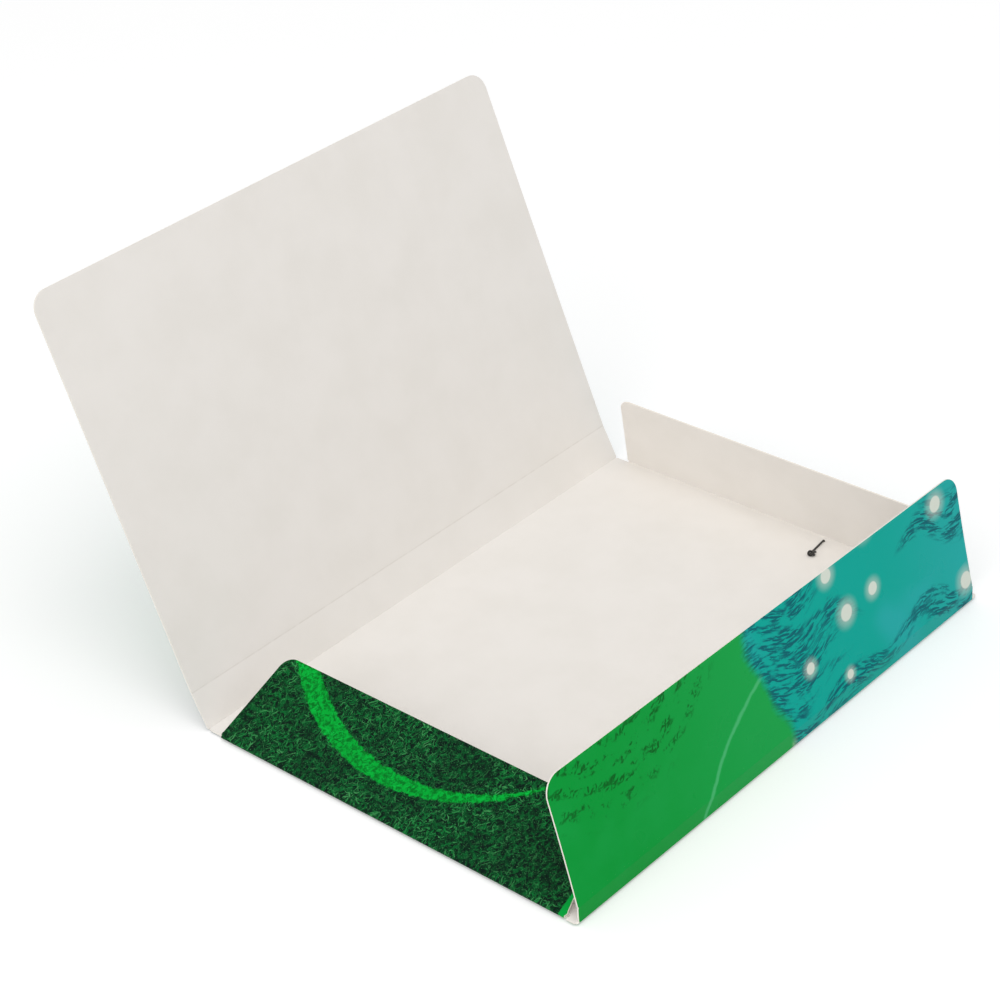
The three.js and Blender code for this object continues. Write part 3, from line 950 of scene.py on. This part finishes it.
def object_place(tree):
    """Object coordinates, in metres."""
    return lay(tree, "ShaderNodeTexCoord").outputs["Object"]


def flat_place(tree):
    """The place on the sheet as it was printed flat, in metres."""
    node = lay(tree, "ShaderNodeAttribute", attribute_name="flat_place", attribute_type="GEOMETRY")
    return node.outputs["Vector"]


def coat(tree, shader, colour, height, depth, roughness):
    """Links a colour, a height that is so many metres deep, and a roughness that changes or is even."""
    tree.links.new(colour, shader.inputs["Base Color"])
    bump = lay(tree, "ShaderNodeBump", {"Height": height, "Distance": depth, "Strength": 1.0})
    tree.links.new(bump.outputs[0], shader.inputs["Normal"])
    if isinstance(roughness, bpy.types.NodeSocket):
        tree.links.new(roughness, shader.inputs["Roughness"])
    else:
        shader.inputs["Roughness"].default_value = roughness


def inside_material(chosen):
    """Uncoated card: warm pale, with fibres, soft greyer patches and painted shade along two pressed score
    lines.
    """
    colours, card = chosen.colours, chosen.card
    material, tree, shader = new_material("uncoated_inside")
    place = flat_place(tree)
    fibre, patch = grain(tree, place, 2600.0)
    shade = tint(tree, fade(tree, patch, 0.3, 0.75, 0.0, 0.7), colours.inside, colours.inside_shade)
    shade = tint(tree, fade(tree, fibre, 0.56, 0.68, 0.0, 0.22), shade, colours.core)
    # Painted shade along the score lines of the spine and cover creases: a broken line, slightly greyer than
    # the card
    x, _ = axes_of(tree, place)
    broken = mottle(tree, place, (180.0, 3.0, 0.6), 0.3, 0.6, 0.25, 1.0)
    for crease in (-card.base_width / 2, -card.base_width / 2 - card.spine_depth):
        away = calc("ABSOLUTE", tree, less(tree, x, crease))
        line = times(tree, fade(tree, away, *SCORE_EDGE, 0.3, 0.0), broken)
        shade = tint(tree, line, shade, colours.score)
    coat(tree, shader, shade, fibre, 0.06 * MM, fade(tree, fibre, 0.3, 0.7, 0.55, 0.7))
    shader.inputs["Specular IOR Level"].default_value = 0.3
    return material


def edge_material(chosen):
    """The cut edge: bare core, mottled by its fibres."""
    colours = chosen.colours
    material, tree, shader = new_material("cut_edge")
    fibre, _ = grain(tree, object_place(tree), 3400.0)
    shade = tint(tree, fade(tree, fibre, 0.35, 0.65), colours.inside_shade, colours.core)
    coat(tree, shader, shade, fibre, 0.08 * MM, 0.85)
    return material


# The design of the print, on the flat sheet in metres
MOSS_SCATTERS = (  # cell and half width of the blades
    (0.0046, 0.085),
    (0.0038, 0.09),
    (0.0031, 0.095),
    (0.0026, 0.10),
    (0.0021, 0.11),
)
CRESCENTS = (  # middle and radius of a disc, and of the disc that bites into it
    ((-0.012, -0.292), 0.117, (-0.004, -0.300), 0.117),
    ((0.150, -0.236), 0.066, (0.156, -0.233), 0.067),
    ((-0.200, -0.060), 0.110, (-0.206, -0.070), 0.110),
)
CRESCENT_BLUR = 0.4 * MM
RING_FIELDS = (  # middle of the broken rings, and their nearest and farthest distance from it
    ((0.236, -0.112), 0.046, 0.088),
    ((-0.29, -0.03), 0.04, 0.12),
)
RING_WAVE = 620.0  # radians of the rings' wave to a metre
ARC_MIDDLE, ARC_RADIUS = (0.05, 0.035), 0.127
ARC_EDGE = 0.3 * MM, 1.8 * MM
WATER_SCATTERS = ((0.0052, 0.0), (0.0042, 0.37), (0.0034, 0.71))  # cell of the strokes, and its shift
PEBBLE_CELLS = 36.0  # to a metre
MEADOW_TURNS_PALE = -0.13, 0.01
WATER_TURNS_PALE = 0.08, 0.17
SHORE = -0.014, -0.007  # where the meadow ends and the water starts
MOSS_SHORE = 0.150, 0.154  # how far towards the tail the meadow ends and the moss starts


def moss_colour(tree, colours, place):
    """The dark part of the print: five scatters of curled blades, each laid over the one below."""
    lush = mottle(tree, place, (26.0, 3.0, 0.6), 0.36, 0.66)
    grime = noise(tree, place, 420.0, 2.0, 0.6, 0.6)
    moss = tint(tree, fade(tree, grime, 0.42, 0.7, 0.0, 0.5), colours.moss_ground, colours.moss_blade)
    cover = None
    bent = times(tree, less(tree, noise(tree, place, 190.0, 1.0, 0.5), 0.5), 6 * MM)
    sway = lay(tree, "ShaderNodeCombineXYZ", {0: bent, 1: times(tree, bent, -0.8)}).outputs[0]
    swayed = on_vectors(tree, "ADD", {0: place, 1: sway})
    for index, (cell, half_width) in enumerate(MOSS_SCATTERS):
        layer = stretched(tree, swayed, turn=0.9 * index, shift=(0.31 * index, 0.17 * index))
        stroke, tone = blades(tree, layer, cell, 0.0, 2 * pi, 2.4, half_width)
        dim = fade(tree, tone, 0.0, 1.0, 0.15, 1.0)
        strength = times(tree, times(tree, stroke, dim), fade(tree, lush, 0.0, 1.0, 0.3, 1.0))
        shade = tint(tree, fade(tree, tone, 0.7, 1.0, 0.0, 0.6), colours.moss_blade, colours.moss_tip)
        moss = tint(tree, strength, moss, shade)
        cover = strength if cover is None else larger(tree, cover, strength)
    blot = mottle(tree, place, (130.0, 3.0, 0.65), 0.5, 0.64, 0.0, 0.62)
    moss = tint(tree, blot, moss, colours.moss_ground)
    speck = mottle(tree, place, (1500.0, 1.0, 0.5), 0.64, 0.72, 0.0, 0.55)
    moss = tint(tree, speck, moss, colours.moss_tip)
    # Bright crescents: inside one circle and outside another
    flaws = times(tree, less(tree, noise(tree, place, 220.0, 6.0, 0.8), 0.5), 7 * MM)
    crescent = None
    for disc, radius, bite, bite_radius in CRESCENTS:
        within = plus(tree, distance_from(tree, place, disc), flaws)
        outside = plus(tree, distance_from(tree, place, bite), flaws)
        mask = times(
            tree,
            fade(tree, within, radius - CRESCENT_BLUR, radius + CRESCENT_BLUR, 1.0, 0.0),
            fade(tree, outside, bite_radius - CRESCENT_BLUR, bite_radius + CRESCENT_BLUR),
        )
        crescent = mask if crescent is None else larger(tree, crescent, mask)
    shadow = fade(tree, grime, 0.42, 0.58, 0.75, 0.0)
    leaf = tint(tree, shadow, colours.leaf, colours.meadow_blade)
    leaf = tint(tree, times(tree, cover, 0.8), leaf, colours.leaf_blade)
    return tint(tree, crescent, moss, leaf)


def meadow_colour(tree, colours, place, y):
    """The even green: a slow change along the sheet, dark broken rings of blades and one pale arc."""
    green = tint(tree, fade(tree, y, *MEADOW_TURNS_PALE), colours.meadow, colours.meadow_light)
    veil = mottle(tree, place, (38.0, 3.0, 0.55), 0.4, 0.75, 0.0, 0.35)
    green = tint(tree, veil, green, colours.meadow_light)
    wander = noise(tree, place, 60.0, 3.0, 0.6)
    breaks = mottle(tree, stretched(tree, place, turn=0.4), (110.0, 3.0, 0.65), 0.43, 0.54)
    rings = []
    for spot, nearest, farthest in RING_FIELDS:
        away = distance_from(tree, place, spot)
        swing = calc("MULTIPLY_ADD", tree, wander, 9.0, times(tree, away, RING_WAVE))
        line = fade(tree, calc("SINE", tree, swing), -0.3, 0.4)
        starts = fade(tree, away, nearest - 10 * MM, nearest)
        ends = fade(tree, away, farthest - 15 * MM, farthest, 1.0, 0.0)
        rings.append(times(tree, line, times(tree, starts, ends)))
    first, _ = blades(tree, place, 0.0046, 0.7, 1.6, 2.0, 0.16)
    second, _ = blades(tree, stretched(tree, place, shift=(0.41, 0.23)), 0.0034, 0.9, 1.8, 2.0, 0.18)
    tuft = mottle(tree, stretched(tree, place, y=0.5, turn=0.5), (330.0, 5.0, 0.7), 0.5, 0.58, 0.0, 0.8)
    tufts = larger(tree, larger(tree, first, second), tuft)
    dark = times(tree, times(tree, larger(tree, *rings), breaks), times(tree, tufts, 0.85))
    green = tint(tree, dark, green, colours.meadow_blade)
    away = calc("MULTIPLY_ADD", tree, wander, 4 * MM, distance_from(tree, place, ARC_MIDDLE))
    arc = fade(tree, calc("ABSOLUTE", tree, less(tree, away, ARC_RADIUS)), *ARC_EDGE, 0.5, 0.0)
    return tint(tree, arc, green, colours.meadow_arc)


def water_colour(tree, colours, place, x, y):
    """The teal: pale patches, dark strokes and masses that follow a slow wave, and soft pale pebbles."""
    patch = mottle(tree, place, (16.0, 2.0, 0.5), 0.5, 0.72, 0.0, 0.6)
    light = plus(tree, patch, fade(tree, y, *WATER_TURNS_PALE, 0.0, 0.55), clamp=True)
    water = tint(tree, light, colours.water, colours.water_light)
    wave = calc("SINE", tree, times(tree, y, 95.0))
    along = calc("MULTIPLY_ADD", tree, wave, 4.5 * MM, x)
    flow = lay(tree, "ShaderNodeCombineXYZ", {0: along, 1: y}).outputs[0]
    bands = mottle(tree, stretched(tree, flow, 42.0, 9.0, shift=(3.1, 1.7)), (1.0, 2.0), 0.45, 0.54)
    knots = mottle(tree, stretched(tree, flow, 150.0, 60.0), (1.0, 3.0, 0.6), 0.38, 0.52)
    mass = mottle(tree, stretched(tree, flow, 330.0, 110.0), (1.0, 5.0, 0.72), 0.5, 0.57)
    strokes = times(tree, mass, 0.8)
    for cell, shift in WATER_SCATTERS:
        layer = stretched(tree, flow, y=0.5, shift=(shift, shift / 2))
        stroke, _ = blades(tree, layer, cell, pi / 2, 0.9, 1.6, 0.17)
        strokes = larger(tree, strokes, stroke)
    dark = times(tree, times(tree, strokes, bands), times(tree, knots, 0.95))
    water = tint(tree, dark, water, colours.water_line)
    grid = stretched(tree, place, PEBBLE_CELLS, PEBBLE_CELLS, 0.25, (0.35, 0.1))
    cells, chance = scattered(tree, grid, 0.7)
    pick = calc("GREATER_THAN", tree, chance[0], 0.55)
    size = fade(tree, chance[1], 0.0, 1.0, 0.65, 1.25)
    away = calc("DIVIDE", tree, cells.outputs["Distance"], size)
    glow = fade(tree, away, 0.10, 0.33, 0.4, 0.0)
    heart = fade(tree, away, 0.12, 0.165, 0.94, 0.0)
    return tint(tree, times(tree, larger(tree, glow, heart), pick), water, colours.spark)


def print_material(chosen):
    """The glossy printed outside: one design that runs over the whole flat sheet."""
    colours = chosen.colours
    material, tree, shader = new_material("printed_outside")
    place = flat_place(tree)
    x, y = axes_of(tree, place)
    drift = times(tree, less(tree, noise(tree, place, 24.0, 3.0, 0.55), 0.5), 20 * MM)
    meadow = meadow_colour(tree, colours, place, y)
    water = water_colour(tree, colours, place, x, y)
    slant = times(tree, calc("SINE", tree, times(tree, less(tree, x, 0.16), 25.0)), 16 * MM)
    shore = plus(tree, drift, plus(tree, y, slant))
    field = tint(tree, fade(tree, shore, *SHORE), meadow, water)
    # The moss lies along the tail, deepest towards the spine and nowhere on the fore panels
    past_corner = fade(tree, x, 0.108, 0.122, 0.0, 0.2)
    short_of_fore = fade(tree, x, 0.04, 0.10, 0.035, 0.0)
    depth = plus(tree, drift, less(tree, less(tree, short_of_fore, y), past_corner))
    design = tint(tree, fade(tree, depth, *MOSS_SHORE), field, moss_colour(tree, colours, place))
    sheet_waves = noise(tree, place, 55.0)
    coat(tree, shader, design, sheet_waves, 0.04 * MM, fade(tree, sheet_waves, 0.3, 0.7, 0.27, 0.34))
    shader.inputs["Specular IOR Level"].default_value = 0.05
    return material


def cord_material(colours):
    """Braided elastic: two families of threads that wind round the cord in opposite ways, with painted shade
    in the gaps between them.
    """
    material, tree, shader = new_material("braided_elastic")
    once_round, run = axes_of(tree, lay(tree, "ShaderNodeUVMap", uv_map="braid").outputs[0])
    around, along = times(tree, once_round, 8 * pi), times(tree, run, 3.4)
    threads = [calc("ABSOLUTE", tree, calc("SINE", tree, way(tree, around, along))) for way in (plus, less)]
    fuzz = noise(tree, object_place(tree), 6000.0)
    height = calc("MULTIPLY_ADD", tree, fuzz, 0.35, larger(tree, *threads))
    # The gaps between the threads are darkened: painted shade
    shade = tint(tree, fade(tree, height, 0.75, 1.25), colours.cord_shade, colours.cord)
    coat(tree, shader, shade, height, 0.06 * MM, 0.7)
    shader.inputs["Sheen Weight"].default_value = 0.25
    return material


def card_materials(chosen):
    """Inside, print and cut edge, made once, in the order of the finishes."""
    makers = {
        "uncoated_inside": inside_material,
        "printed_outside": print_material,
        "cut_edge": edge_material,
    }
    return [bpy.data.materials.get(name) or maker(chosen) for name, maker in makers.items()]


# Operators


def settings():
    """The portfolio's sizes and colours."""
    return bpy.context.scene.portfolio


def folded_panel(name, fold_name, depth, root_corner, tip_corner, taper=0, tip_fold=None, **looks):
    """The panel past a fold, less the strip there and the one at its tip, if another fold is there."""
    chosen = settings()
    card = chosen.card
    fold, ends = folds(card)[fold_name], panel_ends(card)[fold_name]
    reaches = STRIP_REACH[fold_name], STRIP_REACH.get(tip_fold, 0)
    outline, seams = flap_outline(ends, depth, root_corner, tip_corner, taper, *reaches, card)
    return card_panel(name, outline, seams, fold, card_materials(chosen), card, **looks)


class PORTFOLIO_OT_base(bpy.types.Operator):
    """Build the base panel with its ears and its four punched holes"""

    bl_idname = "portfolio.base"
    bl_label = "Base panel"

    def execute(self, context):
        chosen = settings()
        card, elastic = chosen.card, chosen.elastic
        outline, seams = base_outline(card)
        places = hole_places(card, elastic, -1) + hole_places(card, elastic, 1)
        holes = [hole_ring(place, elastic.hole_radius) for place in places]
        piece = card_panel("base_card", outline, seams, None, card_materials(chosen), card, holes)
        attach(piece, "base")
        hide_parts("base_panel")
        return {"FINISHED"}


class PORTFOLIO_OT_spine_and_cover(bpy.types.Operator):
    """Build the spine panel and the cover, whose head corner comes slightly inwards"""

    bl_idname = "portfolio.spine_and_cover"
    bl_label = "Spine and cover"

    def execute(self, context):
        card = settings().card
        corner = card.strip_corner
        spine = folded_panel("spine_card", "spine", card.spine_depth, corner, corner, tip_fold="cover")
        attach(spine, "spine")
        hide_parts("spine_panel")

        def warp(x, y):
            return card.cover_lean * (0.5 + x / card.base_length) * (y / card.cover_width) ** 2

        sizes = card.cover_width, corner, card.cover_corner
        cover = folded_panel("cover_card", "cover", *sizes, warp=warp, spacing=COVER_GRID)
        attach(cover, "cover")
        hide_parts("cover_panel")
        return {"FINISHED"}


class PORTFOLIO_OT_end_flaps(bpy.types.Operator):
    """Build the tail flap and the head flap"""

    bl_idname = "portfolio.end_flaps"
    bl_label = "Tail and head flaps"

    def execute(self, context):
        card = settings().card
        sizes = card.end_flap_depth, card.root_corner, card.end_corner, card.end_taper
        for end, slot in (("tail", "card_print"), ("head", "card_inside")):
            piece = folded_panel(f"{end}_flap_card", end, *sizes)
            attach(piece, f"{end}_flap")
            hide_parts(f"{end}_flap")
        return {"FINISHED"}


class PORTFOLIO_OT_fore_panels(bpy.types.Operator):
    """Build the fore wall and the fore flap, which is slightly twisted"""

    bl_idname = "portfolio.fore_panels"
    bl_label = "Fore wall and flap"

    def execute(self, context):
        card = settings().card
        corner = card.strip_corner
        wall = folded_panel("fore_wall_card", "wall", card.fore_wall_height, corner, corner, tip_fold="fore")
        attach(wall, "fore_wall")
        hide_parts("fore_wall")

        def warp(x, y):
            return card.fore_lean * (2 * x / card.base_length) * (y / card.fore_flap_depth) ** 2

        sizes = card.fore_flap_depth, corner, card.fore_corner
        flap = folded_panel("fore_flap_card", "fore", *sizes, warp=warp, spacing=FLAP_GRID)
        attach(flap, "fore_flap")
        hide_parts("fore_flap")
        return {"FINISHED"}


class PORTFOLIO_OT_creases(bpy.types.Operator):
    """Build the strip of card at each of the six folds"""

    bl_idname = "portfolio.creases"
    bl_label = "Creases"

    def execute(self, context):
        chosen = settings()
        card = chosen.card
        lines, ends = folds(card), panel_ends(card)
        half = card.base_length / 2
        edge, ear = half - card.setback, half + card.ear
        base_spine = (-edge, edge, card.spine_corner)
        base_fore = (-ear, ear, card.ear_corner)
        spine, wall, fore = ((*ends[name], card.strip_corner) for name in ("spine", "wall", "fore"))
        tail, head = ((*ends[name], card.root_corner) for name in ("tail", "head"))
        # Fold, bodies before and after it, (start, end, corner radius) before and after it, and slot
        rows = (
            ("spine", "base", "spine", base_spine, spine, "card_inside"),
            ("cover", "spine", "cover", spine, spine, "card_inside"),
            ("tail", "base", "tail_flap", tail, tail, "card_print"),
            ("head", "base", "head_flap", head, head, "card_inside"),
            ("wall", "base", "fore_wall", base_fore, wall, "card_print"),
            ("fore", "fore_wall", "fore_flap", wall, fore, "card_print"),
        )
        materials = card_materials(chosen)
        for name, before_body, after_body, before, after, slot in rows:
            fold, reach = lines[name], STRIP_REACH[name]
            piece = crease_strip(f"{name}_crease", fold, reach, before, after, materials, card)
            blend_over(piece)
        return {"FINISHED"}


class PORTFOLIO_OT_elastics(bpy.types.Operator):
    """Build the two corner elastics, each with a knot at both ends"""

    bl_idname = "portfolio.elastics"
    bl_label = "Corner elastics"

    def execute(self, context):
        chosen = settings()
        card, elastic = chosen.card, chosen.elastic
        half = elastic_half(card, elastic)
        mirrored = half[-2::-1][:, [1, 0, 2]]
        whole = np.concatenate([half, mirrored])
        material = cord_material(chosen.colours)
        for end, side in (("tail", -1), ("head", 1)):
            corner = np.array([card.base_width / 2, side * card.base_length / 2, 0])
            line = smooth_line(corner + whole * [1, side, 1], CORD_SPACING, CORD_SOFTENING)
            piece = add_cord(f"{end}_elastic_cord", line, elastic.diameter / 2, material)
            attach(piece, "base")
            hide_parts(f"elastic_{end}")
        return {"FINISHED"}


# The studio, in metres and watts
FLOOR_REACH = 12.0
FLOOR_GREY = 0.82
FLOOR_GLOW = 0.26  # brings the floor up to white where the camera or a gloss sees it
SKY_LIGHT = 0.62
LAMPS = (  # name, place, size and power
    ("key", (1.9, -1.1, 4.3), 3.0, 77),
    ("fill", (0.4, -4.0, 2.2), 3.6, 56),
)
LAMP_AIM = np.array([0, 0, 0.05])

# The camera, as it was fitted to the portfolio's creases
LENS, SENSOR = 95.796, 36
CAMERA_PLACE = (0.7349, -0.8244, 0.7852)
CAMERA_RIGHT = (0.74650911, 0.66188718, -0.06804051)
CAMERA_UP = (-0.30706544, 0.43342049, 0.84726471)
CAMERA_BACK = (0.59028380, -0.61159794, 0.52679502)


def stand(item, right, up, back, place):
    """Places a lamp or camera by its right, upward and backward directions."""
    item.matrix_world = Matrix([*np.column_stack([right, up, back, place]).tolist(), [0, 0, 0, 1]])


def area_lamp(name, place, size, power):
    """A square lamp at a place, facing the portfolio."""
    data = bpy.data.lights.new(name, "AREA")
    data.shape = "SQUARE"
    data.size = size
    data.energy = power
    back = np.array(place) - LAMP_AIM
    back /= np.linalg.norm(back)
    side = np.cross([0, 0, 1], back)
    side /= np.linalg.norm(side)
    stand(linked(name, data), side, np.cross(back, side), back, place)


def seen_directly(tree):
    """One for the rays of the camera and of glossy reflections, and nothing for the rest."""
    rays = lay(tree, "ShaderNodeLightPath").outputs
    return larger(tree, rays["Is Camera Ray"], rays["Is Glossy Ray"])


class PORTFOLIO_OT_stage(bpy.types.Operator):
    """Build the floor, the world, the lamps and the camera"""

    bl_idname = "portfolio.stage"
    bl_label = "Studio"

    def execute(self, context):
        scene = context.scene
        scene.view_settings.view_transform = "Standard"
        low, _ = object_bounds()
        mesh = bpy.data.meshes.new("floor")
        corners = FLOOR_REACH * np.array([[-1, -1, 0], [1, -1, 0], [1, 1, 0], [-1, 1, 0]]) + [0, 0, low[2]]
        mesh.from_pydata(corners.tolist(), [], [(0, 1, 2, 3)])
        material, tree, shader = new_material("studio_floor")
        shader.inputs["Base Color"].default_value = (FLOOR_GREY, FLOOR_GREY, FLOOR_GREY, 1)
        shader.inputs["Roughness"].default_value = 1.0
        shader.inputs["Specular IOR Level"].default_value = 0.0
        shader.inputs["Emission Color"].default_value = (1, 1, 1, 1)
        tree.links.new(times(tree, seen_directly(tree), FLOOR_GLOW), shader.inputs["Emission Strength"])
        mesh.materials.append(material)
        linked("floor", mesh)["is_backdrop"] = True
        world = bpy.data.worlds.new("studio")
        world.use_nodes = True
        scene.world = world
        tree = world.node_tree
        tree.nodes.clear()
        even, bright = (
            lay(tree, "ShaderNodeBackground", {"Color": (1, 1, 1, 1), "Strength": strength}).outputs[0]
            for strength in (SKY_LIGHT, 1.0)
        )
        mixed = lay(tree, "ShaderNodeMixShader", {0: seen_directly(tree), 1: even, 2: bright}).outputs[0]
        lay(tree, "ShaderNodeOutputWorld", {"Surface": mixed})
        for lamp in LAMPS:
            area_lamp(*lamp)
        data = bpy.data.cameras.new("camera")
        data.sensor_width = SENSOR
        data.lens = LENS
        data.clip_start, data.clip_end = 0.05, 50
        camera = linked("camera", data)
        stand(camera, CAMERA_RIGHT, CAMERA_UP, CAMERA_BACK, CAMERA_PLACE)
        scene.camera = camera
        return {"FINISHED"}


BUILDERS = (
    PORTFOLIO_OT_base,
    PORTFOLIO_OT_spine_and_cover,
    PORTFOLIO_OT_end_flaps,
    PORTFOLIO_OT_fore_panels,
    PORTFOLIO_OT_creases,
    PORTFOLIO_OT_elastics,
    PORTFOLIO_OT_stage,
)


class PORTFOLIO_PT_panel(bpy.types.Panel):
    bl_idname = "PORTFOLIO_PT_panel"
    bl_label = "Portfolio"
    bl_space_type = "VIEW_3D"
    bl_region_type = "UI"
    bl_category = "Portfolio"

    def draw(self, context):
        chosen = context.scene.portfolio
        for group in (chosen.card, chosen.elastic, chosen.colours):
            box = self.layout.box()
            for name in group.bl_rna.properties.keys():
                if name not in {"rna_type", "name"}:
                    box.prop(group, name)
        for builder in BUILDERS:
            self.layout.operator(builder.bl_idname)


CLASSES = (
    PortfolioCardSizes,
    PortfolioElasticSizes,
    PortfolioColours,
    PortfolioSettings,
    *BUILDERS,
    PORTFOLIO_PT_panel,
)


def register():
    for item in CLASSES:
        bpy.utils.register_class(item)
    bpy.types.Scene.portfolio = bpy.props.PointerProperty(type=PortfolioSettings)


def unregister():
    del bpy.types.Scene.portfolio
    for item in reversed(CLASSES):
        bpy.utils.unregister_class(item)


def main():
    """Builds every piece, then the stage."""
    register()
    bpy.ops.portfolio.base()
    bpy.ops.portfolio.spine_and_cover()
    bpy.ops.portfolio.end_flaps()
    bpy.ops.portfolio.fore_panels()
    bpy.ops.portfolio.creases()
    bpy.ops.portfolio.elastics()
    bpy.ops.portfolio.stage()


if __name__ == "__main__":
    main()
